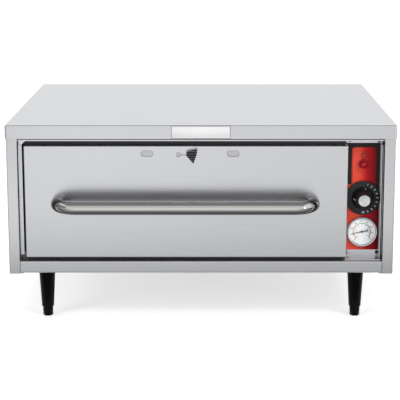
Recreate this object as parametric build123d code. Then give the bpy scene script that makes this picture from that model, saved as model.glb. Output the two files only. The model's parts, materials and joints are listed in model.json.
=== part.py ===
from build123d import *
import os

# Countertop warming drawer, in millimetres.
# X runs to the right, Y to the back and Z up. The origin is on the counter, under the middle of
# the outer box. Every piece is drawn with Y as its depth behind the front face of the cabinet,
# and the whole drawer is shifted once, when the pieces are written.

os.makedirs("parts", exist_ok=True)

# ---------------------------------------------------------------- driving dimensions
# Cabinet
body_width = 733.0
body_depth = 570.5
body_height = 286.0
leg_height = 101.0
sheet = 1.5
bend_radius = 2.0
rear_flange = 20.0
top_flange = 20.0
bottom_flange = 26.5
slip = 0.2
cover_gap = 0.3
lip_height = 26.0
cover_corner = 4.0

# Front opening of the cabinet
stile_width = 21.0
step_back = 9.0
step_left = 7.5
step_right = 4.5
sill_height = 24.5
head_height = 21.0
head_drop = 9.0
gusset = 7.0

# Drawer front and cavity
front_recess = 4.0
front_thickness = 24.0
front_gap_left = 3.6
front_gap_bottom = 6.3
front_gap_top = 8.4
control_opening = 67.7
rear_clearance = 1.0
cavity_margin = 11.1
cavity_lift = 14.5
cavity_headroom = 15.0
cavity_rear_space = 50.5
liner_wall = 1.2
liner_flange = 6.0

# Roller slides
wheel_radius = 15.0
wheel_width = 7.0
wheel_play = 0.3
pin_radius = 3.0
running_fit = 0.05
channel_wall = 2.0
member_wall = 2.0
member_gap = 0.75
rail_height = 145.0
wheel_spacing = 200.0
wheel_end_gap = 5.0

# Food pan and its frame
pan_length = 527.0
pan_width = 324.0
pan_depth = 150.0
pan_wall = 1.0
pan_rim = 11.0
pan_taper = 7.5
pan_front = 22.0
ledge_width = 12.0
frame_margin = 10.0
frame_lip = 12.0

# Handle
handle_radius = 12.7
handle_wall = 1.6
handle_reach = 50.0
handle_left = 64.1
handle_right = 66.4
handle_height = 115.0
handle_bend = 38.0

# Vent
vent_length = 22.8
vent_height = 10.6
vent_drop = 14.7
vent_left_x = -101.6
vent_right_x = 60.7
vent_travel = 25.0
keyhole_x = -42.4
keyhole_radius = 3.8
slot_height = 3.0
tab_x = -16.2
shutter_wall = 1.0
shutter_height = 22.0

# Controls, as heights above the sill and as depths behind the face
panel_depth = 36.0
label_wall = 0.4
knob_rise = 116.6
lamp_rise = 182.8
thermometer_rise = 49.9
skirt_radius = 33.2
knob_base_radius = 20.0
knob_tip_radius = 13.0
knob_front = 5.5
shaft_radius = 3.0
bezel_radius = 29.5
lamp_radius = 9.25
screw_head = 3.4
screw_shank = 1.9

# Heating element
element_radius = 4.0
element_rise = 14.2
element_pitch = 100.0
element_runs = 4

# Legs and feet
leg_inset = 64.5
leg_front = 60.0
leg_rear = 512.0
leg_top_radius = 16.75
leg_tip_radius = 11.8
foot_height = 18.3
foot_collar_radius = 9.9
foot_hex = 16.6
stem_radius = 5.0
stem_length = 45.0
plate_size = 60.0
gland_reach = 10.0

# ---------------------------------------------------------------- sizes that follow from these
half_width = body_width / 2
opening_half = half_width - stile_width
fit_half = opening_half - slip
z_bottom = leg_height
z_floor = leg_height + sheet
z_sill = leg_height + sill_height
z_side_top = leg_height + body_height
z_cover = z_side_top + cover_gap + sheet
z_web = z_side_top - head_height
z_head = z_web - head_drop
cover_reach = cover_gap + sheet

drawer_left = -opening_half + step_left + front_gap_left
drawer_right = opening_half - control_opening
drawer_bottom = z_sill + front_gap_bottom
drawer_top = z_head - front_gap_top
drawer_x = (drawer_left + drawer_right) / 2
drawer_rear = front_recess + front_thickness

frame_front = drawer_rear + rear_clearance
cavity_front = frame_front + sheet
cavity_left = drawer_left + cavity_margin
cavity_right = drawer_right - cavity_margin
cavity_half = (cavity_right - cavity_left) / 2
cavity_bottom = z_sill + cavity_lift
cavity_top = z_head - cavity_headroom
cavity_rear = body_depth - cavity_rear_space

rail_z = cavity_bottom + rail_height
rail_front = cavity_front + 3.5
rail_length = cavity_rear - 36.0 - rail_front
channel_half = wheel_radius + wheel_play
channel_depth = 10.5
wheel_start = channel_wall + member_gap
middle_start = wheel_start + wheel_width + 1.5
drawer_wheel_start = middle_start + channel_wall + member_gap
member_start = drawer_wheel_start + wheel_width + 1.5
member_inner = member_start + member_wall
ledge_top = rail_z + 32.0
member_bottom = rail_z - 15.0

frame_z = ledge_top + slip
rim_z = frame_z + sheet + slip
pan_y = drawer_rear + pan_front + pan_width / 2

handle_z = z_sill + handle_height
handle_x0 = drawer_left + handle_left
handle_x1 = drawer_right - handle_right
vent_z = drawer_top - vent_drop

panel_left = drawer_right - 3.5
panel_right = opening_half - 0.5
panel_bottom = z_sill + cover_gap
panel_top = z_head + 4.0
control_x = opening_half - 35.5
knob_z = z_sill + knob_rise
lamp_z = z_sill + lamp_rise
thermometer_z = z_sill + thermometer_rise
label_front = panel_depth - label_wall

back_plane = body_depth + sheet
leg_x = half_width - leg_inset
leg_places = [(-leg_x, leg_front), (leg_x, leg_front), (-leg_x, leg_rear), (leg_x, leg_rear)]
foot_names = ["foot_front_left", "foot_front_right", "foot_rear_left", "foot_rear_right"]
gland_x = leg_x + 12.0
gland_z = z_floor + 47.5

front_extent = handle_reach + handle_radius - front_recess
rear_extent = back_plane + gland_reach
y_face = (front_extent - rear_extent) / 2


# ---------------------------------------------------------------- shape helpers
def block(x0, x1, y0, y1, z0, z1):
    """Rectangular block between two opposite corners."""
    middle = Pos((x0 + x1) / 2, (y0 + y1) / 2, (z0 + z1) / 2)
    return middle * Box(x1 - x0, y1 - y0, z1 - z0)


def rod(radius, length, base, axis="Z"):
    """Round bar from a base point along one axis."""
    turns = {"X": (0, 90, 0), "Y": (-90, 0, 0), "Z": (0, 0, 0)}
    low_end = (Align.CENTER, Align.CENTER, Align.MIN)
    return Pos(*base) * Rot(*turns[axis]) * Cylinder(radius, length, align=low_end)


def front_cut(sketch, x, z, y0, y1):
    """Solid of a sketch seen from the front, between two depths."""
    return extrude(Plane.XZ.offset(-y1) * (Pos(x, z) * sketch), amount=y1 - y0)


def folded(points, thickness=sheet, radius=bend_radius):
    """Face of a folded sheet: the points follow its outer side and the metal lies to their left."""
    path = FilletPolyline(*points, radius=radius)
    rim = offset(path, amount=thickness, side=Side.LEFT)
    return make_face(rim.edges())


def folded_across(points, x0, x1):
    """Folded sheet with its section in depth and height, running from x0 to x1."""
    return extrude(Plane.YZ.offset(x0) * folded(points), amount=x1 - x0)


def folded_up(points, z0, z1):
    """Folded sheet with its section in plan, standing from z0 to z1."""
    return extrude(Pos(0, 0, z0) * folded(points), amount=z1 - z0)


def turned(points, x, z):
    """Turned piece about an axis that runs front to back, from (radius, depth) points."""
    section = make_face(Polyline(*points, close=True))
    return Pos(x, 0, z) * revolve(section, Axis.Y)


def group(solids):
    """Separate solids kept in one piece list."""
    return Part() + solids


def mirrored(shape):
    """Copy on the other side of the drawer's centre line."""
    return mirror(shape, about=Plane.YZ.offset(drawer_x))


def screw(x, y, z, length, head=screw_head):
    """Pan-head screw that points to the back, its head seated at depth y."""
    crown = 0.55 * head
    points = [(0, y - crown), (0.6 * head, y - crown), (head, y - 0.4 * crown), (head, y),
              (screw_shank, y), (screw_shank, y + length), (0, y + length)]
    return turned(points, x, z)


# ---------------------------------------------------------------- cabinet shell
def top_cover():
    """Inverted tray with lips all round and softened corners."""
    z_lip = z_cover - lip_height
    tray = cover_block(cover_reach, z_lip, z_cover, cover_corner, bend_radius)
    tray -= cover_block(cover_gap, z_lip - 1, z_cover - sheet, cover_corner - sheet, bend_radius - sheet)
    for x in cover_screw_places:
        tray -= rod(screw_shank + slip, 2 * sheet, (x, back_plane, cover_screw_z), "Y")
    return tray


def cover_block(reach, z0, z1, corner, edge):
    """Rounded block that stands out from the cabinet by a reach on every side."""
    half = half_width + reach
    body = block(-half, half, -reach, back_plane + reach, z0, z1)
    body = fillet(body.edges().filter_by(Axis.Z), corner)
    return fillet(body.faces().sort_by(Axis.Z)[-1].edges(), edge)


def side_panel(step_width):
    """Left-hand side with its stile, the stepped flange beside the opening and its flanges."""
    outline = [(-half_width + rear_flange, body_depth), (-half_width, body_depth),
               (-half_width, 0), (-opening_half, 0),
               (-opening_half, step_back), (-opening_half + step_width, step_back)]
    panel = folded_up(outline, z_bottom, z_side_top)
    step_end = -opening_half + step_width + 1
    step_bottom = z_sill + 11.0
    step_top = z_head - gusset - slip
    for z0, z1 in ((z_bottom, step_bottom), (step_top, z_side_top)):
        panel -= block(-opening_half, step_end, step_back - 4, step_back + 4, z0, z1)
    inner = -half_width + sheet
    rear = body_depth - sheet
    panel += block(inner, -half_width + bottom_flange, sheet, rear, z_bottom, z_floor)
    panel += block(inner, -half_width + top_flange, sheet, rear, z_side_top - sheet, z_side_top)
    for x, z in back_screw_places:
        panel -= rod(screw_shank + slip, 4 * sheet, (x, rear - sheet, z), "Y")
    return panel


def base_pan():
    """Floor with the front sill rail, folded back over its top, and a rear flange."""
    rear = body_depth - sheet - slip
    outline = [(cavity_front, z_sill), (0, z_sill), (0, z_floor), (rear, z_floor), (rear, z_floor + 20)]
    pan = folded_across(outline, -fit_half, fit_half)
    for x, y in leg_places:
        pan -= rod(stem_radius + slip, 4 * sheet, (x, y, z_floor - sheet))
    return pan


def head_rail():
    """Rail above the drawer, stepped back behind its web, with the gusset ear at the left."""
    outline = [(25, z_side_top), (0, z_side_top), (0, z_web), (step_back, z_web), (step_back, z_head)]
    rail = folded_across(outline, -fit_half, fit_half)
    ear = Polyline((-fit_half, z_head + 1), (-fit_half, z_head - gusset),
                   (-fit_half + gusset, z_head - gusset), (-fit_half + 2 * gusset, z_head),
                   (-fit_half + 2 * gusset, z_head + 1), close=True)
    return rail + front_cut(make_face(ear), 0, 0, step_back, step_back + sheet)


def back_panel():
    """Rear sheet with louvre slots behind the controls and the hole for the cord gland."""
    panel = block(-half_width + 2.5, half_width - 2.5, body_depth, back_plane,
                  z_floor + sheet, z_side_top - 2)
    slot = SlotOverall(46, 5)
    for row in range(7):
        z = z_sill + 90 + 14 * row
        panel -= front_cut(slot, control_x, z, body_depth - 1, back_plane + 1)
    panel -= rod(gland_body_radius + slip, 4 * sheet, (gland_x, body_depth - sheet, gland_z), "Y")
    for x, z in back_screw_places:
        panel -= rod(screw_shank + slip, 4 * sheet, (x, body_depth - sheet, z), "Y")
    for x in cover_screw_places:
        panel -= rod(screw_shank + slip, 4 * sheet, (x, body_depth - sheet, cover_screw_z), "Y")
    return panel


def rear_screws():
    """Screws that hold the back panel, and three more through the cover's rear lip."""
    solids = [mirror(screw(x, -back_plane, z, 6), about=Plane.XZ) for x, z in back_screw_places]
    lip = back_plane + cover_reach
    solids += [mirror(screw(x, -lip, cover_screw_z, 5), about=Plane.XZ) for x in cover_screw_places]
    return group(solids)


def opening_frame():
    """Frame behind the drawer front, with a left and a top jamb that reach the stepped flanges."""
    left = -opening_half + sheet
    right = cavity_right + 7
    jamb_front = step_back + sheet + slip
    plate = block(left, right, frame_front, cavity_front, z_sill + slip, z_head + 4)
    plate -= block(cavity_left, cavity_right, frame_front - 1, cavity_front + 1,
                   cavity_bottom, cavity_top)
    plate -= block(left - 1, drawer_left, frame_front - 1, cavity_front + 1, z_sill, z_sill + 11)
    plate += block(left, left + sheet, jamb_front, cavity_front, z_sill + 11, z_head + 4)
    plate += block(left, right, jamb_front, cavity_front, z_head + 4 - sheet, z_head + 4)
    return plate


def cavity_liner():
    """Open-fronted box of the warm cavity, with an outward flange behind the opening frame."""
    wall = liner_wall
    liner = block(cavity_left - wall, cavity_right + wall, cavity_front, cavity_rear + wall,
                  cavity_bottom - wall, cavity_top + wall)
    reach = wall + liner_flange
    liner += block(cavity_left - reach, cavity_right + reach, cavity_front, cavity_front + wall,
                   cavity_bottom - reach, cavity_top + reach)
    liner -= block(cavity_left, cavity_right, cavity_front - 1, cavity_rear,
                   cavity_bottom, cavity_top)
    side = cavity_right - wall
    for y in (element_y(0), element_y(element_runs - 1)):
        liner -= rod(element_radius + slip, 3 * wall, (side, y, element_z), "X")
    for z in (thermostat_bulb_z, thermometer_z):
        liner -= rod(capillary_radius + slip, 3 * wall, (side, bulb_y, z), "X")
    return liner


def insulation():
    """Blankets left, above, behind, below and to the right of the cavity."""
    left = -half_width + sheet + 0.5
    skin = liner_wall + 0.3
    low = cavity_bottom - skin
    high = z_side_top - sheet - 0.5
    front = cavity_front + liner_wall + 0.3
    rear = cavity_rear + skin
    slab_left = cavity_left - skin
    slab_right = cavity_right + skin
    blankets = [
        block(left, slab_left, front, rear - 1, z_floor + 10, high),
        block(slab_left + 1, slab_right, front, rear - 1, cavity_top + skin, high),
        block(slab_left + 1, slab_right, rear, body_depth - 2 * sheet - 0.5, z_floor + 25, high),
        block(slab_left + 1, slab_right, front, rear - 1, low - 22, low),
        block(slab_right, slab_right + 15, front + 30, bulb_y - 15, element_z + 12, cavity_top),
    ]
    return group(blankets)


def nameplate():
    """Plain plate on the cover's front lip."""
    plate = RectangleRounded(nameplate_width, lip_height - 2, 1.5)
    back = -cover_reach
    return front_cut(plate, 0, z_cover - lip_height / 2, back - 0.8, back)


# ---------------------------------------------------------------- control panel
def control_panel():
    """Recessed panel with a forward right flange, a rear left flange, and top and bottom flanges."""
    back = panel_depth + sheet
    outline = [(panel_right, step_back + sheet + slip), (panel_right, back),
               (panel_left + sheet, back), (panel_left + sheet, back + 18)]
    panel = folded_up(outline, panel_bottom, panel_top)
    inner = panel_right - sheet
    panel += block(panel_left + sheet, inner, 8, panel_depth, panel_bottom, panel_bottom + sheet)
    panel += block(panel_left + sheet, inner, step_back + sheet + slip, panel_depth,
                   panel_top - sheet, panel_top)
    return drilled_for_controls(panel, panel_depth - 1, back + 1)


def drilled_for_controls(piece, y0, y1):
    """Cut the holes for the knob's bush, the lamp and the thermometer."""
    for radius, z in ((bush_radius, knob_z), (lamp_body_radius, lamp_z),
                      (case_radius, thermometer_z)):
        piece -= rod(radius + slip, y1 - y0, (control_x, y0, z), "Y")
    for x, z in panel_screw_places:
        piece -= rod(screw_shank + slip, y1 - y0, (x, y0, z), "Y")
    return piece


def control_label():
    """Thin label that covers the panel between its two pairs of screws."""
    width = panel_right - sheet - 1 - label_left
    height = label_top - label_bottom
    face = RectangleRounded(width, height, 2)
    label = front_cut(face, label_left + width / 2, label_bottom + height / 2, label_front, panel_depth)
    return drilled_for_controls(label, label_front - 1, panel_depth + 1)


def panel_screws():
    """Four screws at the corners of the control panel."""
    return group([screw(x, panel_depth, z, 9) for x, z in panel_screw_places])


def panel_brackets():
    """Two angles that carry the control panel from the right side of the cabinet."""
    front = panel_depth + sheet + slip
    side = half_width - sheet - slip
    outline = [(drawer_right, front), (side, front), (side, front + 22)]
    angles = [folded_up(outline, z - 7, z + 7) for z in screw_rows]
    for x, z in panel_screw_places:
        hole = rod(screw_shank + slip, 4 * sheet, (x, front - sheet, z), "Y")
        angles = [angle - hole for angle in angles]
    return group(angles)


def thermostat_body():
    """Switch housing behind the panel, with a bush that the shaft turns in."""
    back = panel_depth + sheet
    housing = block(control_x - 23, control_x + 23, back + slip, back + 34, knob_z - 20, knob_z + 20)
    housing = fillet(housing.edges().filter_by(Axis.Y), 4)
    housing += rod(bush_radius, 5, (control_x, label_front - 1, knob_z), "Y")
    bore = rod(shaft_radius + running_fit, 20, (control_x, label_front - 2, knob_z), "Y")
    return housing - bore


def thermostat_shaft():
    """Control shaft with a flat where the knob grips it."""
    start = knob_front + 3
    shaft = rod(shaft_radius, panel_depth + 14 - start, (control_x, start, knob_z), "Y")
    grip = block(control_x - 5, control_x + 5, start - 1, start + 18,
                 knob_z + shaft_radius - 1, knob_z + shaft_radius + 1)
    return shaft - grip


def knob():
    """Numbered skirt with a fluted cone on it, hollow at the back."""
    skirt_front = label_front - 4.6
    skirt_back = label_front - 2.6
    points = [(0, knob_front + 1), (cap_radius, knob_front + 1), (cap_radius, knob_front),
              (knob_tip_radius, knob_front), (knob_base_radius, skirt_front - 2),
              (knob_base_radius + 1.5, skirt_front), (skirt_radius - 0.6, skirt_front),
              (skirt_radius, skirt_front + 0.6), (skirt_radius, skirt_back),
              (17, skirt_back), (12, knob_front + 8), (6, knob_front + 8),
              (6, skirt_back), (0, skirt_back)]
    body = turned(points, control_x, knob_z)
    depth = skirt_back + 1 - knob_front - 3
    body -= rod(shaft_radius + running_fit, depth, (control_x, knob_front + 3, knob_z), "Y")
    notch = rod(1.0, 24, (0, knob_front - 4, knob_tip_radius + 2.6), "Y")
    for step in range(knob_flutes):
        body -= Pos(control_x, 0, knob_z) * Rot(0, 360 / knob_flutes * step, 0) * notch
    return body


def knob_cap():
    """Turned metal disc set into the knob's tip."""
    points = [(0, knob_front - 0.9), (cap_radius - 1.2, knob_front - 0.9),
              (cap_radius - slip, knob_front - 0.2), (cap_radius - slip, knob_front + 1),
              (0, knob_front + 1)]
    return turned(points, control_x, knob_z)


def lamp_lens():
    """Domed lens with a flange on the label."""
    front = label_front - 13
    points = [(0, front), (3.4, front + 0.8), (5.8, front + 3.2), (6.9, front + 6.6),
              (7.1, label_front - 3), (lamp_radius - 0.6, label_front - 2.6),
              (lamp_radius, label_front - 2), (lamp_radius, label_front - slip), (0, label_front - slip)]
    return turned(points, control_x, lamp_z)


def lamp_body():
    """Lamp barrel behind the panel with its nut and two blade terminals."""
    back = panel_depth + sheet
    barrel = rod(lamp_body_radius, 26, (control_x, label_front, lamp_z), "Y")
    nut = front_cut(RegularPolygon(10, 6), control_x, lamp_z, back + slip, back + 4)
    body = barrel + nut
    for side in (-1, 1):
        x = control_x + 3 * side
        body += block(x - 0.4, x + 0.4, label_front + 25, label_front + 34, lamp_z - 2.5, lamp_z + 2.5)
    return body


def thermometer_case():
    """Bezel ring and back case in one turned shell, open at the front for the dial."""
    bezel = bezel_radius
    front = label_front - 6.1
    points = [(0, label_front + 20), (case_radius - 2, label_front + 20), (case_radius, label_front + 18),
              (case_radius, label_front - slip), (bezel, label_front - slip), (bezel, front + 1.8),
              (bezel - 0.6, front + 0.6), (bezel - 1.8, front), (bezel - 3.0, front + 0.4),
              (bezel - 3.3, front + 1.0), (bezel - 1.9, front + 1.0), (bezel - 1.9, dial_back),
              (pointer_pin + running_fit, dial_back), (pointer_pin + running_fit, dial_back + 10),
              (0, dial_back + 10)]
    return turned(points, control_x, thermometer_z)


def thermometer_dial():
    """Thin dial disc with a hole for the pointer's pin."""
    dial = rod(bezel_radius - 2.1, 0.5, (control_x, dial_back - 0.6, thermometer_z), "Y")
    return dial - rod(pointer_pin + 0.3, 2, (control_x, dial_back - 1.5, thermometer_z), "Y")


def thermometer_lens():
    """Flat glass behind the bezel's lip."""
    return rod(bezel_radius - 2.1, 1.0, (control_x, label_front - 4.9, thermometer_z), "Y")


def thermometer_pointer():
    """Needle with a thin tip and a broad tail, on a pin through the dial."""
    y0 = dial_back - 2.2
    needle = make_face(Polyline((20.5, 0.0), (2.0, 0.9), (-4.0, 1.2), (-12.5, 2.0),
                                (-12.5, -2.0), (-4.0, -1.2), (2.0, -0.9), close=True))
    pointer = front_cut(Rot(0, 0, pointer_rest) * needle, control_x, thermometer_z, y0, y0 + 0.5)
    pointer += rod(2.4, 0.9, (control_x, y0 - 0.2, thermometer_z), "Y")
    pointer += rod(pointer_pin, 11, (control_x, y0, thermometer_z), "Y")
    return pointer


def capillary(x, y, z):
    """Capillary that runs back beside the cavity and ends in a bulb inside its rear."""
    turn = 14.0
    path = FilletPolyline((x, y, z), (x, bulb_y, z), (bulb_x, bulb_y, z), radius=turn)
    tube = sweep(Plane(origin=(x, y, z), z_dir=(0, 1, 0)) * Circle(capillary_radius), path=path)
    return tube + rod(3, 100, (bulb_x - 100, bulb_y, z), "X")


def capillary_bulbs():
    """Sensing bulbs of the thermostat and of the thermometer."""
    thermostat_back = panel_depth + sheet + 34
    return group([capillary(control_x - 8, thermostat_back, thermostat_bulb_z),
                  capillary(control_x, label_front + 20, thermometer_z)])


# ---------------------------------------------------------------- heater and supply
def element_y(run):
    """Depth of one straight run of the heating element."""
    return cavity_front + 79.5 + element_pitch * run


def heating_element():
    """Sheathed element laid in straight runs joined by half turns."""
    x_end = cavity_right + 26
    x_left = cavity_left + 73
    x_right = cavity_right - 68
    swing = element_pitch / 2
    edges = []
    for run in range(element_runs):
        y = element_y(run)
        outer = run in (0, element_runs - 1)
        right = x_end if outer else x_right
        leftward = run % 2 == 0
        start, stop = (right, x_left) if leftward else (x_left, right)
        edges.append(Line((start, y, element_z), (stop, y, element_z)))
        if run < element_runs - 1:
            bulge = stop - swing if leftward else stop + swing
            edges.append(ThreePointArc((stop, y, element_z), (bulge, y + swing, element_z),
                                       (stop, y + element_pitch, element_z)))
    begin = Plane(origin=(x_end, element_y(0), element_z), z_dir=(-1, 0, 0))
    return sweep(begin * Circle(element_radius), path=Wire(edges))


def element_supports():
    """Inverted channels on the cavity floor that the element rests on."""
    bars = []
    top = element_z - element_radius - slip
    for x in (cavity_left + 123, drawer_x, cavity_right - 106):
        outline = [(x + 8, cavity_bottom), (x + 8, top), (x - 8, top), (x - 8, cavity_bottom)]
        section = Plane.XZ.offset(-element_y(element_runs - 1) - 20) * folded(outline)
        bars.append(extrude(section, amount=element_pitch * (element_runs - 1) + 40))
    return group(bars)


def terminal_block():
    """Supply terminals on the cabinet floor: barriers between open cells."""
    z0 = z_floor + sheet + slip
    y0 = 380
    body = block(control_x - 26, control_x + 26, y0, y0 + 24, z0, z0 + 20)
    for cell in range(3):
        x = control_x - 16 + 16 * cell
        body -= block(x - 6, x + 6, y0 - 1, y0 + 25, z0 + 8, z0 + 21)
        body += rod(3.5, 3, (x, y0 + 12, z0 + 8))
    return body


def cord_gland():
    """Clamping gland in the back panel, with a clear bore for the supply cord."""
    nut = front_cut(RegularPolygon(13, 6), gland_x, gland_z, body_depth - 6, body_depth - slip)
    head = front_cut(RegularPolygon(14, 6), gland_x, gland_z, back_plane + slip, back_plane + 6)
    barrel = rod(gland_body_radius, 10, (gland_x, body_depth - 3, gland_z), "Y")
    dome = turned([(0, back_plane + 6), (11, back_plane + 6), (8.5, rear_extent), (0, rear_extent)],
                  gland_x, gland_z)
    bore = rod(gland_bore, 40, (gland_x, body_depth - 12, gland_z), "Y")
    return nut + head + barrel + dome - bore


# ---------------------------------------------------------------- legs and feet
def legs():
    """Four tapered legs with a bore for the foot's stem and the stud."""
    top = z_floor - slip
    points = [(stem_radius + 0.1, foot_height), (leg_tip_radius - 1, foot_height),
              (leg_tip_radius, foot_height + 1), (leg_top_radius - 0.8, top - 8),
              (leg_top_radius, top - 6), (leg_top_radius, top), (stem_radius + 0.1, top)]
    section = Plane.XZ * make_face(Polyline(*points, close=True))
    leg = revolve(section, Axis.Z)
    return group([Pos(x, y, 0) * leg for x, y in leg_places])


def foot(x, y):
    """Adjustable foot: hexagon, collar and threaded stem."""
    collar = foot_height / 2
    hexagon = extrude(RegularPolygon(foot_hex / 2, 6, major_radius=False), amount=collar)
    body = fillet(hexagon.faces().sort_by(Axis.Z)[0].edges(), 1)
    body += rod(foot_collar_radius, collar - 0.3, (0, 0, collar))
    body += rod(stem_radius, stem_length, (0, 0, foot_height - 1))
    return Pos(x, y, 0) * body


def leg_plates():
    """Stiffening plates on the floor above each leg."""
    z0 = z_floor + sheet
    plates = []
    for x, y in leg_places:
        plate = extrude(RectangleRounded(plate_size, plate_size, 5), amount=3)
        plates.append(Pos(x, y, z0) * plate - rod(stem_radius + slip, 20, (x, y, z0 - 5)))
    return group(plates)


def leg_studs():
    """Studs through the floor into each leg, each with its nut."""
    z0 = z_floor + sheet + 3
    studs = []
    for x, y in leg_places:
        nut = extrude(RegularPolygon(8.5, 6, major_radius=False), amount=7)
        stud = Pos(x, y, z0) * nut + rod(stem_radius, z0 + 4 - 80, (x, y, 80))
        studs.append(stud)
    return group(studs)


# ---------------------------------------------------------------- roller slides, left-hand ones
def channel(start):
    """Channel rail that opens towards the drawer, its web at a distance from the cavity wall."""
    x0 = cavity_left + start
    half = channel_half + channel_wall
    outline = [(x0 + channel_depth, half), (x0, half), (x0, -half), (x0 + channel_depth, -half)]
    section = folded(outline, channel_wall, channel_wall + 0.5)
    return extrude(Plane.XZ.offset(-rail_front - rail_length) * (Pos(0, rail_z) * section),
                   amount=rail_length)


def wheel_pin(start, y):
    """Pin with its shoulder, standing out from a web towards the cavity wall."""
    x1 = cavity_left + start
    pin = rod(pin_radius, wheel_width + 1.9, (x1 - wheel_width - 1.9, y, rail_z), "X")
    return pin + rod(5, 1.25, (x1 - 1.25, y, rail_z), "X")


def middle_wheel_y():
    """Depths of the two wheels on the middle rail."""
    rear = rail_front + rail_length - wheel_radius - wheel_end_gap
    return rear - wheel_spacing, rear


def drawer_wheel_y():
    """Depths of the two wheels on the drawer's own member."""
    rear = rail_front + rail_length - wheel_radius - wheel_end_gap - 6
    return rear - wheel_spacing, rear


def fixed_rail():
    """Rail fastened to the cavity wall by three flat-headed rivets."""
    rail = channel(0.0)
    for share in (0.1, 0.5, 0.9):
        y = rail_front + rail_length * share
        rail -= rod(2.2, 2 * channel_wall, (cavity_left - 1, y, rail_z), "X")
    return rail


def middle_rail():
    """Rail that travels half as far as the drawer, with its two wheel pins."""
    rail = channel(middle_start)
    for y in middle_wheel_y():
        rail += wheel_pin(middle_start, y)
    return rail


def wheel(start, y):
    """Moulded wheel with a hub and a dished web."""
    edge = wheel_radius
    half = wheel_width / 2
    bore = pin_radius + running_fit
    points = [(bore, -half), (5.5, -half), (5.5, -half + 1.5), (edge - 3.5, -half + 1.5),
              (edge - 3.5, -half), (edge - 0.6, -half), (edge, -half + 0.6), (edge, half - 0.6),
              (edge - 0.6, half), (edge - 3.5, half), (edge - 3.5, half - 1.5), (5.5, half - 1.5),
              (5.5, half), (bore, half)]
    body = revolve(make_face(Polyline(*points, close=True)), Axis.Y)
    x = cavity_left + start + half
    return Pos(x, y, rail_z) * Rot(0, 0, 90) * body


def drawer_side():
    """Side member of the drawer: web, ledge for the pan frame, front tab and two wheel pins."""
    x0 = cavity_left + member_start
    inner = x0 + member_wall
    outline = [(inner + ledge_width, ledge_top), (x0, ledge_top), (x0, member_bottom)]
    section = folded(outline, member_wall, member_wall + 0.5)
    rear = rail_front + rail_length - 6
    side = extrude(Plane.XZ.offset(-rear) * section, amount=rear - drawer_rear)
    side += block(x0 + 1, inner + 20, drawer_rear, drawer_rear + 2, member_bottom + 2, ledge_top - 5)
    for y in drawer_wheel_y():
        side += wheel_pin(member_start, y)
    return side


# ---------------------------------------------------------------- drawer
def vent_openings(y0, y1, shift=0.0):
    """Two oval vents, cut through between two depths."""
    oval = SlotOverall(vent_length, vent_height)
    return [front_cut(oval, x + shift, vent_z, y0, y1) for x in (vent_left_x, vent_right_x)]


def drawer_front():
    """Shallow tray that opens to the back, with the vents, the keyhole and the tab's slot."""
    front = block(drawer_left, drawer_right, front_recess, drawer_rear, drawer_bottom, drawer_top)
    front = fillet(front.edges().filter_by(Axis.Y), bend_radius)
    front = fillet(front.faces().sort_by(Axis.Y)[0].edges(), bend_radius - 0.1)
    hollow = block(drawer_left + sheet, drawer_right - sheet, front_recess + sheet, drawer_rear + 1,
                   drawer_bottom + sheet, drawer_top - sheet)
    front -= fillet(hollow.edges().filter_by(Axis.Y), bend_radius - sheet)
    y0 = front_recess - 1
    y1 = front_recess + sheet + 1
    for opening in vent_openings(y0, y1):
        front -= opening
    front -= rod(keyhole_radius, y1 - y0, (keyhole_x, y0, slot_z), "Y")
    front -= block(keyhole_x, tab_x + tab_stem + slip, y0, y1,
                   slot_z - slot_height / 2, slot_z + slot_height / 2)
    for x in (handle_x0, handle_x1):
        front -= rod(handle_bolt + slip, y1 - y0, (x, y0, handle_z), "Y")
    return front


def drawer_inner_panel():
    """Sheet that closes the back of the drawer front, let in between its returns."""
    wall = sheet + slip
    panel = block(drawer_left + wall, drawer_right - wall, drawer_rear - sheet, drawer_rear,
                  drawer_bottom + wall, drawer_top - wall)
    for opening in vent_openings(drawer_rear - sheet - 1, drawer_rear + 1):
        panel -= opening
    return panel


def drawer_rear_bar():
    """Channel that ties the two side members together behind the pan."""
    inner = cavity_left + member_inner + slip
    rear = rail_front + rail_length - 8
    z0 = rail_z - 10
    z1 = ledge_top - member_wall - 3
    outline = [(rear - 12, z0), (rear, z0), (rear, z1), (rear - 12, z1)]
    return folded_across(outline, inner, 2 * drawer_x - inner)


def pan_frame():
    """Tray frame on the ledges, with a rounded window for the pan and turned-down ends."""
    half = cavity_half - member_inner - 1
    front = pan_y - pan_width / 2 - frame_margin
    rear = pan_y + pan_width / 2 + frame_margin
    plate = block(drawer_x - half, drawer_x + half, front, rear, frame_z, frame_z + sheet)
    window = RectangleRounded(pan_length - 2 * pan_rim + 6, pan_width - 2 * pan_rim + 6, pan_corner)
    plate -= Pos(drawer_x, pan_y, frame_z - 1) * extrude(window, amount=sheet + 2)
    lip_half = half - ledge_width - 1
    for y in (front, rear - sheet):
        plate += block(drawer_x - lip_half, drawer_x + lip_half, y, y + sheet,
                       frame_z - frame_lip, frame_z + sheet)
    return plate


def pan_body(shrink):
    """Tapered body of the food pan, shrunk evenly for its inside."""
    length = pan_length - 2 * pan_rim - 2 * shrink
    width = pan_width - 2 * pan_rim - 2 * shrink
    z_low = rim_z + pan_wall - pan_depth + shrink
    z_high = rim_z + pan_wall
    top = RectangleRounded(length, width, pan_corner - shrink)
    low = RectangleRounded(length - 2 * pan_taper, width - 2 * pan_taper, pan_corner - 10 - shrink)
    return loft([Pos(drawer_x, pan_y, z_low) * low, Pos(drawer_x, pan_y, z_high) * top])


def food_pan():
    """Deep pan with a flat rim that hangs in the frame's window."""
    rim = extrude(RectangleRounded(pan_length, pan_width, pan_corner + 5), amount=pan_wall)
    pan = Pos(drawer_x, pan_y, rim_z) * rim + pan_body(0)
    inside = pan_body(pan_wall)
    brim = inside.faces().sort_by(Axis.Z)[-1]
    return pan - inside - extrude(brim, amount=1)


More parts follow.
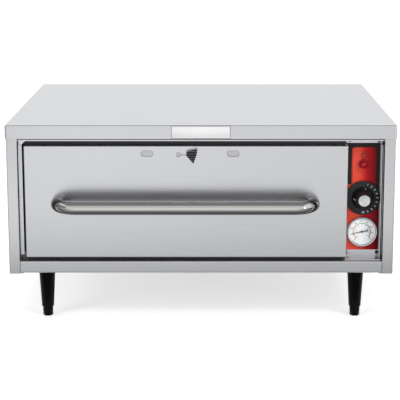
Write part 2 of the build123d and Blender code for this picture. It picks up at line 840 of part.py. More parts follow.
def handle():
    """Bent tube with threaded plugs in its ends."""
    back = front_recess - slip
    reach = front_recess - handle_reach
    path = FilletPolyline((handle_x0, back, handle_z), (handle_x0, reach, handle_z),
                          (handle_x1, reach, handle_z), (handle_x1, back, handle_z), radius=handle_bend)
    start = Plane(origin=(handle_x0, back, handle_z), z_dir=(0, -1, 0))
    ring = Circle(handle_radius) - Circle(handle_radius - handle_wall)
    tube = sweep(start * ring, path=path)
    for x in (handle_x0, handle_x1):
        plug = rod(handle_radius - handle_wall, 11, (x, back - 11, handle_z), "Y")
        tube += plug - rod(handle_bolt + 0.1, 20, (x, back - 15, handle_z), "Y")
    return tube


def handle_bolts():
    """Hexagon bolts inside the drawer front that pull the handle on."""
    bolts = []
    seat = front_recess + sheet
    for x in (handle_x0, handle_x1):
        head = front_cut(RegularPolygon(6.5, 6, major_radius=False), x, handle_z, seat, seat + 5.3)
        bolts.append(head + rod(handle_bolt, seat + 8, (x, -8, handle_z), "Y"))
    return group(bolts)


def vent_shutter():
    """Sliding strip behind the vents, closed at rest and open one travel to the left."""
    y0 = shutter_front
    strip = front_cut(RectangleRounded(shutter_right - shutter_left, shutter_height, 3),
                      (shutter_left + shutter_right) / 2, vent_z, y0, y0 + shutter_wall)
    for opening in vent_openings(y0 - 1, y0 + shutter_wall + 1, vent_travel):
        strip -= opening
    return strip


def vent_guides():
    """Upper and lower strips whose offset lips hold the shutter against the drawer front."""
    half = shutter_height / 2
    front = front_recess + sheet
    left = shutter_left - vent_travel - 4
    right = shutter_right + 4
    guides = []
    for side in (-1, 1):
        edge = vent_z + side * (half + slip)
        step = front + shutter_wall + 3 * slip
        z_near, z_far = sorted((edge, edge + 1.8 * side))
        guide = block(left, right, front, step + 1, z_near, z_far)
        z_near, z_far = sorted((edge - 2.5 * side, edge + 1.8 * side))
        guides.append(guide + block(left, right, step, step + 1, z_near, z_far))
    return group(guides)


def vent_knob():
    """Thumb tab in front of the drawer, with grooves across it and a flat stem through the slot."""
    y0 = front_recess - tab_reach
    y1 = front_recess - slip
    outline = make_face(Polyline((-10.9, 7.4), (9.5, 11.6), (8.1, 0.9), (2.0, -15.8), (-11.3, -0.6),
                                 close=True))
    tab = front_cut(outline, tab_x, slot_z, y0, y1)
    for groove in range(tab_grooves):
        z = slot_z + tab_groove_top - tab_groove_pitch * groove
        tab -= block(tab_x - tab_reach * 2, tab_x + tab_reach * 2, y0 - 1, y0 + tab_groove_depth,
                     z - tab_groove_half, z + tab_groove_half)
    stem_half = slot_height / 2 - slip
    tab += block(tab_x - tab_stem, tab_x + tab_stem - slip, y1 - 1, shutter_front - 0.1,
                 slot_z - stem_half, slot_z + stem_half)
    return tab


# ---------------------------------------------------------------- values shared by several pieces
nameplate_width = 111.0
cap_radius = 11.25
knob_flutes = 20
bush_radius = 4.8
lamp_body_radius = 6.8
case_radius = bezel_radius - 5.5
dial_back = label_front - 1.0
pointer_pin = 1.0
pointer_rest = 192.3
capillary_radius = 1.2
bulb_x = cavity_right - 16
bulb_y = cavity_rear - 12
thermostat_bulb_z = knob_z + 8
element_z = cavity_bottom + element_rise
gland_body_radius = 9.5
gland_bore = 4.5
pan_corner = 55.0
handle_bolt = 4.0
slot_z = vent_z - 2.0
tab_stem = 2.5
tab_reach = 9.0
tab_grooves = 5
tab_groove_top = 6.0
tab_groove_pitch = 4.2
tab_groove_half = 0.7
tab_groove_depth = 1.4
shutter_front = front_recess + sheet + 0.3
shutter_left = vent_left_x - vent_length / 2 - 6
shutter_right = vent_right_x + vent_length / 2 + vent_travel + 6
label_left = drawer_right - 1.3
label_bottom = z_sill + 13.7
label_top = z_head - 8.1
screw_rows = (z_sill + 8.5, z_head - 3.5)
panel_screw_places = [(x, z) for x in (panel_left + 9.7, panel_right - 5.5) for z in screw_rows]
back_screw_places = [(side * (half_width - 12), z_floor + 30 + 75 * row)
                     for side in (-1, 1) for row in range(4)]
cover_screw_places = (-half_width + 60, 0.0, half_width - 60)
cover_screw_z = z_cover - lip_height / 2

# ---------------------------------------------------------------- the piece list
pieces = {
    "top_cover": top_cover(),
    "left_side_panel": side_panel(step_left),
    "right_side_panel": mirror(side_panel(step_right), about=Plane.YZ),
    "base_pan": base_pan(),
    "head_rail": head_rail(),
    "back_panel": back_panel(),
    "rear_screws": rear_screws(),
    "opening_frame": opening_frame(),
    "cavity_liner": cavity_liner(),
    "insulation": insulation(),
    "nameplate": nameplate(),
    "control_panel": control_panel(),
    "control_label": control_label(),
    "panel_screws": panel_screws(),
    "panel_brackets": panel_brackets(),
    "thermostat_body": thermostat_body(),
    "thermostat_shaft": thermostat_shaft(),
    "knob": knob(),
    "knob_cap": knob_cap(),
    "lamp_lens": lamp_lens(),
    "lamp_body": lamp_body(),
    "thermometer_case": thermometer_case(),
    "thermometer_dial": thermometer_dial(),
    "thermometer_lens": thermometer_lens(),
    "thermometer_pointer": thermometer_pointer(),
    "capillary_bulbs": capillary_bulbs(),
    "heating_element": heating_element(),
    "element_supports": element_supports(),
    "terminal_block": terminal_block(),
    "cord_gland": cord_gland(),
    "legs": legs(),
    "leg_plates": leg_plates(),
    "leg_studs": leg_studs(),
    "fixed_rails": group([fixed_rail(), mirrored(fixed_rail())]),
    "middle_rail_left": middle_rail(),
    "middle_rail_right": mirrored(middle_rail()),
    "drawer_sides": group([drawer_side(), mirrored(drawer_side())]),
    "drawer_front": drawer_front(),
    "drawer_inner_panel": drawer_inner_panel(),
    "drawer_rear_bar": drawer_rear_bar(),
    "pan_frame": pan_frame(),
    "food_pan": food_pan(),
    "handle": handle(),
    "handle_bolts": handle_bolts(),
    "vent_shutter": vent_shutter(),
    "vent_guides": vent_guides(),
    "vent_knob": vent_knob(),
}
for name, (x, y) in zip(foot_names, leg_places):
    pieces[name] = foot(x, y)
for end, (middle_y, drawer_y) in zip(("front", "rear"), zip(middle_wheel_y(), drawer_wheel_y())):
    middle_wheel = wheel(wheel_start, middle_y)
    drawer_wheel = wheel(drawer_wheel_start, drawer_y)
    pieces[f"middle_wheel_{end}_left"] = middle_wheel
    pieces[f"middle_wheel_{end}_right"] = mirrored(middle_wheel)
    pieces[f"drawer_wheel_{end}_left"] = drawer_wheel
    pieces[f"drawer_wheel_{end}_right"] = mirrored(drawer_wheel)

for name, shape in pieces.items():
    export_step(Pos(0, y_face, 0) * shape, f"parts/{name}.step")
print(len(pieces), "nodes, face at y =", round(y_face, 3))
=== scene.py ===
"""Looks of a countertop warming drawer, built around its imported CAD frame.

Sizes in the code are millimetres: X to the right, Z up from the counter, and depth behind the
front face of the cabinet. The helper at() turns them into the frame's metres.
"""

import json
import math

import bpy
from bpy.props import FloatProperty, FloatVectorProperty, IntProperty, PointerProperty
from mathutils import Matrix, Vector


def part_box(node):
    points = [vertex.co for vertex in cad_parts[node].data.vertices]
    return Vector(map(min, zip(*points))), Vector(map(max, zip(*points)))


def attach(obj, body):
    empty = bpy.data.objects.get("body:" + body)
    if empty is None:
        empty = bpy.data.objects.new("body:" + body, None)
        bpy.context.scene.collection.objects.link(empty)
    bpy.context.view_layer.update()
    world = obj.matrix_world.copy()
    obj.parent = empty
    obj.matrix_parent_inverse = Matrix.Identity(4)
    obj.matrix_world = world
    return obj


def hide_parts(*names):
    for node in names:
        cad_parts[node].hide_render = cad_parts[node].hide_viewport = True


bl_info = {
    "name": "Countertop warming drawer",
    "version": (1, 0, 0),
    "blender": (4, 5, 0),
    "location": "3D View > Sidebar > Warming Drawer",
    "description": "Finishes, controls and trim of a countertop warming drawer",
    "category": "Object",
}

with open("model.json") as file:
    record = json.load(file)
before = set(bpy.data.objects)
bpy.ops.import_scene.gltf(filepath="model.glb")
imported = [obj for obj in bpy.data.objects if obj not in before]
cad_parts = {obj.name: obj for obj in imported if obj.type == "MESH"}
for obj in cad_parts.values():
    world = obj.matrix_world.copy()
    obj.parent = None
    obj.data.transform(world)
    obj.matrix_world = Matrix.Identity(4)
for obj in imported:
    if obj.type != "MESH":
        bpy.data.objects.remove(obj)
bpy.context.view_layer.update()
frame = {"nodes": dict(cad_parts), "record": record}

MM = 0.001
COVER_PROUD = 1.8
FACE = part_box("top_cover")[0].y + COVER_PROUD * MM
CONTROL_X = 310.0
KNOB_Z = 242.1
LAMP_Z = 308.3
THERMOMETER_Z = 175.4
VENT_SLOT_Z = 331.9
LABEL_SKIN = 35.54
DIAL_SKIN = 33.95
PRINT = 0.08
UPRIGHT = Matrix.Rotation(math.radians(90), 4, "X")
WHITE = (1, 1, 1, 1)


# ---------------------------------------------------------------- places and bodies
def at(x, depth, z):
    """Point in the frame from millimetres."""
    return Vector((x * MM, FACE + depth * MM, z * MM))


def depth_of(point):
    """Depth of a point of the frame, in millimetres."""
    return (point.y - FACE) / MM


def mode(name):
    """Switches the active piece to object or edit mode."""
    bpy.ops.object.mode_set(mode=name)


def deselect():
    """Leaves edit mode and selects nothing."""
    active = bpy.context.view_layer.objects.active
    if active and active.mode != "OBJECT":
        mode("OBJECT")
    bpy.ops.object.select_all(action="DESELECT")


def pick(*pieces):
    """Selects these pieces and makes the last one active."""
    deselect()
    for piece in pieces:
        piece.select_set(True)
    bpy.context.view_layer.objects.active = pieces[-1]


def edit_all():
    """Opens the active piece in edit mode with all of it selected."""
    mode("EDIT")
    bpy.ops.mesh.select_all(action="SELECT")


def fresh(name):
    """Names the object that an operator has just added."""
    piece = bpy.context.active_object
    piece.name = name
    piece.data.name = name
    return piece


def settle(piece):
    """Closes seams, turns faces outwards, applies the place and smooths the round parts."""
    pick(piece)
    bpy.ops.object.transform_apply(location=True, rotation=True, scale=True)
    edit_all()
    bpy.ops.mesh.remove_doubles(threshold=0.000002)
    bpy.ops.mesh.normals_make_consistent(inside=False)
    mode("OBJECT")
    bpy.ops.object.shade_smooth_by_angle(angle=math.radians(35.0))
    return piece


def fit(piece, body, slot, *stood_for):
    """Puts a piece on its body and hides the nodes that it stands for. Its slot is not used."""
    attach(piece, body)
    if stood_for:
        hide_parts(*stood_for)


def paint(piece, look):
    """Gives a piece one finish all over."""
    piece.data.materials.clear()
    piece.data.materials.append(FINISHES[look])


def dress(piece, look, body, slot, *stood_for):
    """Paints a piece and fits it."""
    paint(piece, look)
    fit(piece, body, slot, *stood_for)


def printed(name, outlines, depth, look, slot):
    """Thin print of closed outlines on the cabinet."""
    dress(flat_shape(name, outlines, depth, PRINT), look, "cabinet", slot)


def joined(name, pieces):
    """Joins pieces into one mesh."""
    pick(*pieces)
    bpy.ops.object.join()
    return fresh(name)


def apply_modifiers(piece):
    """Applies every modifier of a piece in turn."""
    pick(piece)
    for modifier in list(piece.modifiers):
        bpy.ops.object.modifier_apply(modifier=modifier.name)


# ---------------------------------------------------------------- shapes
def turned(name, profile, centre, sides, ring=False):
    """Turns pairs of radius and depth round a front to back axis: a solid, or a closed ring."""
    deselect()
    x, z = centre
    radius, depth = profile[0]
    bpy.ops.mesh.primitive_circle_add(vertices=sides, radius=radius * MM,
                                      fill_type="NOTHING" if ring else "NGON",
                                      location=at(x, depth, z), rotation=(math.radians(90), 0, 0))
    piece = fresh(name)
    edit_all()
    extrude = bpy.ops.mesh.extrude_edges_move if ring else bpy.ops.mesh.extrude_region_move
    for (r0, d0), (r1, d1) in zip(profile, profile[1:]):
        extrude(TRANSFORM_OT_translate={"value": at(x, d1, z) - at(x, d0, z)})
        if r1 != r0:
            grow = r1 / r0
            bpy.ops.transform.resize(value=(grow, 1, grow), center_override=at(x, d1, z))
    mode("OBJECT")
    return settle(piece)


def flat_shape(name, outlines, depth, thickness):
    """Cuts closed outlines of x and z out of a sheet. An outline inside another is a hole."""
    deselect()
    curve = bpy.data.curves.new(name, "CURVE")
    curve.dimensions = "2D"
    curve.fill_mode = "BOTH"
    curve.extrude = thickness * MM / 2
    for outline in outlines:
        spline = curve.splines.new("POLY")
        spline.points.add(len(outline) - 1)
        for point, (x, z) in zip(spline.points, outline):
            point.co = (x * MM, z * MM, 0, 1)
        spline.use_cyclic_u = True
    piece = bpy.data.objects.new(name, curve)
    bpy.context.scene.collection.objects.link(piece)
    pick(piece)
    bpy.ops.object.convert(target="MESH")
    piece = fresh(name)
    piece.data.transform(Matrix.Translation((0, FACE + depth * MM, 0)) @ UPRIGHT)
    return settle(piece)


def lettered(name, text, size, x, depth, z, bold, turn=0.0):
    """Raised figures that face the front, turned clockwise by turn degrees."""
    deselect()
    bpy.ops.object.text_add()
    figure = bpy.context.active_object
    figure.data.body = text
    figure.data.size = size * MM
    figure.data.align_x = "CENTER"
    figure.data.align_y = "CENTER"
    figure.data.extrude = 0.1 * MM / 2
    figure.data.resolution_u = 3
    figure.data.offset = bold * MM
    bpy.ops.object.convert(target="MESH")
    piece = fresh(name)
    piece.data.transform(Matrix.Translation(at(x, depth, z))
                         @ Matrix.Rotation(math.radians(turn), 4, "Y") @ UPRIGHT)
    return settle(piece)


def around(radius, degrees):
    """Offsets in x and z at an angle clockwise from the top."""
    turn = math.radians(degrees)
    return radius * math.sin(turn), radius * math.cos(turn)


def arc_band(inner, outer, start, stop, x, z, steps):
    """Outline of a band of a ring, from start to stop degrees clockwise from the top."""
    turns = [start + (stop - start) * i / steps for i in range(steps + 1)]
    out = [around(outer, t) for t in turns]
    back = [around(inner, t) for t in reversed(turns)]
    return [(x + px, z + pz) for px, pz in out + back]


def circle(x, z, radius, sides):
    """Outline of a circle, clockwise from the top."""
    return [(x + px, z + pz) for px, pz in (around(radius, 360 / sides * i) for i in range(sides))]


def stadium(x, z, straight, radius):
    """Outline of a slot with round ends whose centres lie straight to each side of the middle."""
    return [(x + side * straight + px, z + pz) for side, start in ((1, 0), (-1, 180))
            for px, pz in (around(radius, start + 180 * i / 12) for i in range(13))]


def bar(length, width, radius, degrees, x, z, taper=1.0):
    """Outline of a bar that points outwards from the axis at an angle clockwise from the top."""
    ux, uz = around(1.0, degrees)
    corners = [(radius, -width / 2), (radius, width / 2),
               (radius + length, width * taper / 2), (radius + length, -width * taper / 2)]
    return [(x + ux * r - uz * s, z + uz * r + ux * s) for r, s in corners]


def block(name, low, high, bevel=0.0):
    """Box between two corners in millimetres, with its edges rounded."""
    deselect()
    middle = at(*((a + b) / 2 for a, b in zip(low, high)))
    bpy.ops.mesh.primitive_cube_add(size=1, location=middle)
    piece = fresh(name)
    edit_all()
    bpy.ops.transform.resize(value=[(b - a) * MM for a, b in zip(low, high)],
                             center_override=middle)
    if bevel:
        bpy.ops.mesh.bevel(offset=bevel * MM, segments=2, affect="EDGES")
    mode("OBJECT")
    return settle(piece)


def screw(name, x, depth, z, head, facing):
    """Pan head screw with a cross recess. Facing is -1 for the front and 1 for the back."""
    profile = [(1.0, 0.0), (1.0, 0.7), (0.93, 1.3), (0.75, 1.8), (0.45, 2.1), (0.1, 2.2)]
    piece = turned(name, [(head * share, depth + facing * rise) for share, rise in profile],
                   (x, z), sides=32)
    reach, half_width = head * 0.55, head * 0.13
    middle = at(x, depth, z)
    for turn in (35, 125):
        cutter = block(name + "_cut", (x - reach, depth + facing * 1.0, z - half_width),
                       (x + reach, depth + facing * 4.0, z + half_width))
        cutter.data.transform(Matrix.Translation(middle)
                              @ Matrix.Rotation(math.radians(turn), 4, "Y")
                              @ Matrix.Translation(-middle))
        settle(cutter)
        cut = piece.modifiers.new("Recess", "BOOLEAN")
        cut.object = cutter
        cut.solver = "EXACT"
        apply_modifiers(piece)
        bpy.data.objects.remove(cutter)
    return settle(piece)


# ---------------------------------------------------------------- shader helpers
def feed(tree, node, inputs):
    """Gives inputs of a node their values, or links the sockets that feed them."""
    for key, value in inputs.items():
        if isinstance(value, bpy.types.NodeSocket):
            tree.links.new(value, node.inputs[key])
        else:
            node.inputs[key].default_value = value
    return node


def add_node(tree, kind, inputs=None, **settings):
    """Adds a node with its settings and its inputs."""
    node = tree.nodes.new(kind)
    for key, value in settings.items():
        setattr(node, key, value)
    return feed(tree, node, inputs or {})


def maths(tree, operation, a, b=0.0, clamp=False):
    """Output of a math node."""
    return add_node(tree, "ShaderNodeMath", {0: a, 1: b}, operation=operation,
                    use_clamp=clamp).outputs[0]


def plus_part(tree, base, value, amount, clamp=False):
    """Output of base + value * amount."""
    return maths(tree, "ADD", base, maths(tree, "MULTIPLY", value, amount), clamp)


def vectors(tree, operation, a, b=(0, 0, 0), scale=1.0, result="Vector"):
    """Output of a vector math node."""
    inputs = {"Scale": scale} if operation == "SCALE" else {1: b}
    return add_node(tree, "ShaderNodeVectorMath", {0: a, **inputs},
                    operation=operation).outputs[result]


def split(tree, vector):
    """Outputs X, Y and Z of a vector."""
    return add_node(tree, "ShaderNodeSeparateXYZ", {"Vector": vector}).outputs


def combined(tree, x, y, z):
    """Output of three values made into a vector."""
    return add_node(tree, "ShaderNodeCombineXYZ", {"X": x, "Y": y, "Z": z}).outputs[0]


def noise(tree, vector, scale, detail, **inputs):
    """Output of a noise texture."""
    return add_node(tree, "ShaderNodeTexNoise", {"Vector": vector, "Scale": scale,
                                                 "Detail": detail, **inputs}).outputs["Fac"]


def ranged(tree, value, low, high, least=0.0, most=1.0, kind="LINEAR"):
    """Output of a map range node, from least at low to most at high."""
    return add_node(tree, "ShaderNodeMapRange",
                    {"Value": value, "From Min": low, "From Max": high, "To Min": least,
                     "To Max": most}, interpolation_type=kind).outputs[0]


def mixed_colour(tree, factor, first, second):
    """Output of a mix node in colour mode, where A and B are inputs 6 and 7 and the output is 2."""
    return add_node(tree, "ShaderNodeMix", {"Factor": factor, 6: first, 7: second},
                    data_type="RGBA").outputs[2]


def ramp(tree, value, stops):
    """Output of a colour ramp through pairs of position and colour."""
    node = add_node(tree, "ShaderNodeValToRGB", {"Fac": value})
    band = node.color_ramp
    for end in (0, -1):
        band.elements[end].position, band.elements[end].color = stops[end]
    for position, colour in stops[1:-1]:
        band.elements.new(position).color = colour
    return node.outputs["Color"]


def varied(tree, tint, swing, amount):
    """A tint made lighter and darker by a swing about 0."""
    return vectors(tree, "SCALE", tint, scale=plus_part(tree, 1.0, swing, amount))


def rgba(colour):
    """Colour of three parts with full alpha."""
    return (colour[0], colour[1], colour[2], 1.0)


# ---------------------------------------------------------------- shader groups
def brushed_grain(tree, given):
    """Long fine streaks along X of its vector: their colour, roughness and height."""
    rate = maths(tree, "DIVIDE", 1.0, given["Pitch"])
    slow = maths(tree, "MULTIPLY", rate, 0.4)
    stretched = [vectors(tree, "MULTIPLY", given["Vector"], combined(tree, along, across, across))
                 for along, across in ((9.0, rate), (20.0, slow))]
    fine = noise(tree, stretched[0], 1.0, 3.0, Roughness=0.6)
    broad = noise(tree, stretched[1], 1.0, 4.0, Roughness=0.55)
    mixed = plus_part(tree, maths(tree, "MULTIPLY", fine, 1.1), broad, 0.9)
    swing = maths(tree, "SUBTRACT", mixed, 1.0)
    return {"Color": varied(tree, given["Tint"], swing, given["Streak"]),
            "Roughness": plus_part(tree, given["Roughness"], swing, given["Spread"], clamp=True),
            "Height": fine}


def handling_smudge(tree, given):
    """Faint cloudy handling marks, from 0 to their amount."""
    cloud = noise(tree, given["Vector"], given["Scale"], 5.0, Roughness=0.6, Distortion=0.4)
    return {"Value": ranged(tree, cloud, 0.42, 0.75, 0.0, given["Amount"], "SMOOTHSTEP")}


def moulded_grain(tree, given):
    """Fine pebbled skin of a moulded or painted part."""
    grain = noise(tree, given["Vector"], given["Scale"], 2.0)
    cloud = noise(tree, given["Vector"], maths(tree, "MULTIPLY", given["Scale"], 0.04), 4.0)
    swing = maths(tree, "SUBTRACT", maths(tree, "ADD", grain, cloud), 1.0)
    return {"Color": varied(tree, given["Tint"], swing, given["Mottle"]),
            "Roughness": plus_part(tree, given["Roughness"], cloud, 0.12),
            "Height": grain}


def zinc_spangle(tree, given):
    """Crystal patches of plated sheet."""
    cells = add_node(tree, "ShaderNodeTexVoronoi",
                     {"Vector": given["Vector"], "Scale": given["Scale"]})
    shade = add_node(tree, "ShaderNodeSeparateColor", {"Color": cells.outputs["Color"]})
    swing = maths(tree, "SUBTRACT", shade.outputs[0], 0.5)
    return {"Color": varied(tree, given["Tint"], swing, given["Contrast"]),
            "Roughness": plus_part(tree, given["Roughness"], swing, given["Contrast"])}


def eased_edge(tree, given):
    """Normal of a surface whose edges are eased, and a mask of those edges."""
    eased = add_node(tree, "ShaderNodeBevel", {"Radius": given["Radius"]}, samples=6).outputs[0]
    true = tree.nodes.new("ShaderNodeNewGeometry").outputs["Normal"]
    agree = vectors(tree, "DOT_PRODUCT", eased, true, result="Value")
    return {"Normal": eased, "Mask": maths(tree, "MULTIPLY", maths(tree, "SUBTRACT", 1.0, agree),
                                           given["Gain"], clamp=True)}


# Each group: what fills it, its inputs and its outputs.
GROUPS = {
    "Brushed grain": (brushed_grain, "Vector Tint Streak Roughness Spread Pitch",
                      "Color Roughness Height"),
    "Handling smudge": (handling_smudge, "Vector Scale Amount", "Value"),
    "Moulded grain": (moulded_grain, "Vector Tint Scale Mottle Roughness",
                      "Color Roughness Height"),
    "Zinc spangle": (zinc_spangle, "Vector Tint Scale Contrast Roughness", "Color Roughness"),
    "Eased edge": (eased_edge, "Radius Gain", "Normal Mask"),
}
SOCKETS = {"Vector": "NodeSocketVector", "Normal": "NodeSocketVector",
           "Tint": "NodeSocketColor", "Color": "NodeSocketColor"}


def group_node(tree, name, **inputs):
    """Places a shader group in a material, and makes the group at its first use."""
    group = bpy.data.node_groups.get(name)
    if group is None:
        fill, taken, made = GROUPS[name]
        group = bpy.data.node_groups.new(name, "ShaderNodeTree")
        for way, labels in (("INPUT", taken), ("OUTPUT", made)):
            for label in labels.split():
                group.interface.new_socket(label, in_out=way,
                                           socket_type=SOCKETS.get(label, "NodeSocketFloat"))
        given = group.nodes.new("NodeGroupInput").outputs
        feed(group, group.nodes.new("NodeGroupOutput"), fill(group, given))
    return add_node(tree, "ShaderNodeGroup", inputs, node_tree=group)


# ---------------------------------------------------------------- finishes
FINISHES = {}


def start_finish(name, **constants):
    """Adds a finish, and gives its tree, its Principled shader and its object coordinates."""
    material = bpy.data.materials.new(name)
    FINISHES[name] = material
    material.use_nodes = True
    tree = material.node_tree
    tree.nodes.clear()
    shader = tree.nodes.new("ShaderNodeBsdfPrincipled")
    feed(tree, tree.nodes.new("ShaderNodeOutputMaterial"), {"Surface": shader.outputs[0]})
    feed(tree, shader, {key.replace("_", " "): value for key, value in constants.items()})
    return tree, shader, tree.nodes.new("ShaderNodeTexCoord").outputs["Object"]


def bump(tree, height, strength, distance, **normal):
    """Output normal of a fine relief."""
    return add_node(tree, "ShaderNodeBump", {"Strength": strength, "Distance": distance,
                                             "Height": height, **normal}).outputs[0]


def brushed_steel(name, tint, roughness, streak=0.10, upright=False):
    """Brushed stainless sheet, whose grain runs along X, or along Z if it is upright."""
    tree, shader, place = start_finish(name, Metallic=1.0, Anisotropic=0.65)
    turn = (0, math.radians(90) if upright else 0, 0)
    along = add_node(tree, "ShaderNodeMapping", {"Vector": place, "Rotation": turn}).outputs[0]
    brushed = group_node(tree, "Brushed grain", Vector=along, Tint=rgba(tint), Streak=streak,
                         Roughness=roughness, Spread=0.045, Pitch=0.0012).outputs
    smudge = group_node(tree, "Handling smudge", Vector=place, Scale=5.0, Amount=0.012).outputs
    eased = group_node(tree, "Eased edge", Radius=0.0007, Gain=3.0).outputs
    # Painted highlight: the base colour is lightened along the eased edges.
    painted_edge_highlight = maths(tree, "MULTIPLY", eased["Mask"], 0.24)
    feed(tree, shader, {
        "Base Color": mixed_colour(tree, painted_edge_highlight, brushed["Color"], (0.95, 0.95, 0.96, 1)),
        "Roughness": maths(tree, "ADD", brushed["Roughness"], smudge[0]),
        "Tangent": combined(tree, float(upright), 1.0, float(not upright)),
        "Normal": bump(tree, brushed["Height"], 0.03, 0.0002, Normal=eased["Normal"])})


def tube_steel(name, tint, shaded, roughness, front, back, low, high):
    """Polished tube, brushed along its length, with painted shade that darkens its back side and
    its underside.
    """
    brushed_steel(name, tint, roughness, streak=0.05)
    tree = FINISHES[name].node_tree
    grain = next(n for n in tree.nodes if n.type == "GROUP" and n.node_tree.name == "Brushed grain")
    x, y, z = split(tree, tree.nodes.new("ShaderNodeTexCoord").outputs["Object"])
    # Painted shade: the tint fades to the shaded colour towards the back of the tube.
    painted_back_shade = mixed_colour(tree, ranged(tree, y, front, back, kind="SMOOTHSTEP"),
                          rgba(tint), rgba(shaded))
    # Painted shade: the tint darkens towards the underside of the tube.
    under = ranged(tree, z, low, high, 0.40, 1.0, "SMOOTHSTEP")
    feed(tree, grain, {"Tint": vectors(tree, "SCALE", painted_back_shade, scale=under)})


def moulded(name, tint, roughness, scale=900.0, mottle=0.1, relief=0.05, **constants):
    """Moulded or painted finish with a fine skin and eased edges."""
    tree, shader, place = start_finish(name, **constants)
    grain = group_node(tree, "Moulded grain", Vector=place, Tint=rgba(tint), Scale=scale,
                       Mottle=mottle, Roughness=roughness).outputs
    eased = group_node(tree, "Eased edge", Radius=0.0004, Gain=2.0).outputs
    smudge = group_node(tree, "Handling smudge", Vector=place, Scale=24.0, Amount=0.10).outputs
    feed(tree, shader, {
        "Base Color": grain["Color"],
        "Roughness": maths(tree, "ADD", grain["Roughness"], smudge[0]),
        "Normal": bump(tree, grain["Height"], relief, 0.0002, Normal=eased["Normal"])})


def ink(name, tint):
    """Printed or engraved paint, slightly uneven."""
    moulded(name, tint, 0.35, scale=1600.0, mottle=0.12, relief=0.03)


def plated(name, tint, roughness, scale=140.0, contrast=0.16):
    """Zinc plated sheet or bar."""
    tree, shader, place = start_finish(name, Metallic=1.0)
    crystals = group_node(tree, "Zinc spangle", Vector=place, Tint=rgba(tint), Scale=scale,
                          Contrast=contrast, Roughness=roughness).outputs
    eased = group_node(tree, "Eased edge", Radius=0.0005, Gain=3.0).outputs
    feed(tree, shader, {"Base Color": crystals["Color"], "Roughness": crystals["Roughness"],
                        "Normal": eased["Normal"]})


def spun_aluminium(name, tint, x, depth, z):
    """Disc faced on a lathe, with fine rings."""
    tree, shader, place = start_finish(name, Metallic=1.0, Anisotropic=0.9)
    out = vectors(tree, "SUBTRACT", place, tuple(at(x, depth, z)))
    flat = vectors(tree, "MULTIPLY", out, (1.0, 0.0, 1.0))
    rings = add_node(tree, "ShaderNodeTexNoise",
                     {"W": vectors(tree, "LENGTH", flat, result="Value"), "Scale": 3000.0,
                      "Detail": 2.0}, noise_dimensions="1D").outputs["Fac"]
    feed(tree, shader, {
        "Base Color": vectors(tree, "SCALE", tint, scale=plus_part(tree, 0.9, rings, 0.2)),
        "Roughness": plus_part(tree, 0.22, rings, 0.1),
        "Normal": bump(tree, rings, 0.15, 0.0001),
        "Tangent": vectors(tree, "NORMALIZE", flat)})


def pebbled(tree, shader, place, tint, scale, mottle, roughness):
    """Gives a shader the colour and the roughness of the moulded grain, and returns its height."""
    grain = group_node(tree, "Moulded grain", Vector=place, Tint=tint, Scale=scale, Mottle=mottle,
                       Roughness=roughness).outputs
    feed(tree, shader, {"Base Color": grain["Color"], "Roughness": grain["Roughness"]})
    return grain["Height"]


def label_film(name, left, middle, right):
    """Glossy printed film, with painted shade that darkens it from its left edge to its right."""
    tree, shader, place = start_finish(name, Specular_IOR_Level=0.12)
    low, high = (v.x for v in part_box("control_label"))
    # Painted shade: the colour ramps from the left colour to the darker right colour across the
    # label.
    tint = ramp(tree, ranged(tree, split(tree, place)["X"], low, high),
                [(0.36, rgba(left)), (0.62, rgba(middle)), (0.95, rgba(right))])
    height = pebbled(tree, shader, place, tint, 700.0, 0.06, 0.24)
    feed(tree, shader, {"Normal": bump(tree, height, 0.03, 0.0001)})


def scale_ink(name, centre_x, centre_z):
    """Ink of the dial's band, whose colour goes round with the angle."""
    tree, shader, place = start_finish(name)
    x, y, z = split(tree, place)
    turn = maths(tree, "ARCTAN2", maths(tree, "SUBTRACT", x, centre_x * MM),
                 maths(tree, "SUBTRACT", z, centre_z * MM))
    stops = [(0.10, (0.62, 0.07, 0.06)), (0.25, (0.75, 0.28, 0.07)), (0.38, (0.62, 0.55, 0.10)),
             (0.50, (0.25, 0.45, 0.12)), (0.60, (0.16, 0.22, 0.16)), (0.72, (0.10, 0.10, 0.13))]
    tint = ramp(tree, plus_part(tree, 0.5, maths(tree, "DIVIDE", turn, math.pi), 0.5),
                [(position, rgba(colour)) for position, colour in stops])
    pebbled(tree, shader, place, tint, 1500.0, 0.1, 0.4)


def clear_plastic(name, tint, roughness):
    """Clear lens with faint smudges."""
    tree, shader, place = start_finish(name, Transmission_Weight=1.0, IOR=1.49)
    smudge = group_node(tree, "Handling smudge", Vector=place, Scale=60.0, Amount=0.04).outputs
    pebbled(tree, shader, place, tint, 500.0, 0.03, roughness)
    feed(tree, shader, {"Roughness": maths(tree, "ADD", smudge[0], roughness)})


def fibre_blanket(name, tint):
    """Matted mineral fibre."""
    tree, shader, place = start_finish(name, Sheen_Weight=0.3)
    tangle = noise(tree, place, 260.0, 8.0, Distortion=2.0)
    pebbled(tree, shader, place, rgba(tint), 400.0, 0.5, 0.85)
    feed(tree, shader, {"Normal": bump(tree, tangle, 0.8, 0.002)})


def heated_sheath(name, tint, roughness):
    """Metal tube with patches of heat colour."""
    tree, shader, place = start_finish(name, Metallic=1.0)
    cloud = noise(tree, place, 22.0, 6.0)
    stops = [(0.35, rgba(tint)), (0.7, rgba([c * 0.55 for c in tint]))]
    feed(tree, shader, {"Base Color": ramp(tree, cloud, stops),
                        "Roughness": plus_part(tree, roughness, cloud, 0.2)})


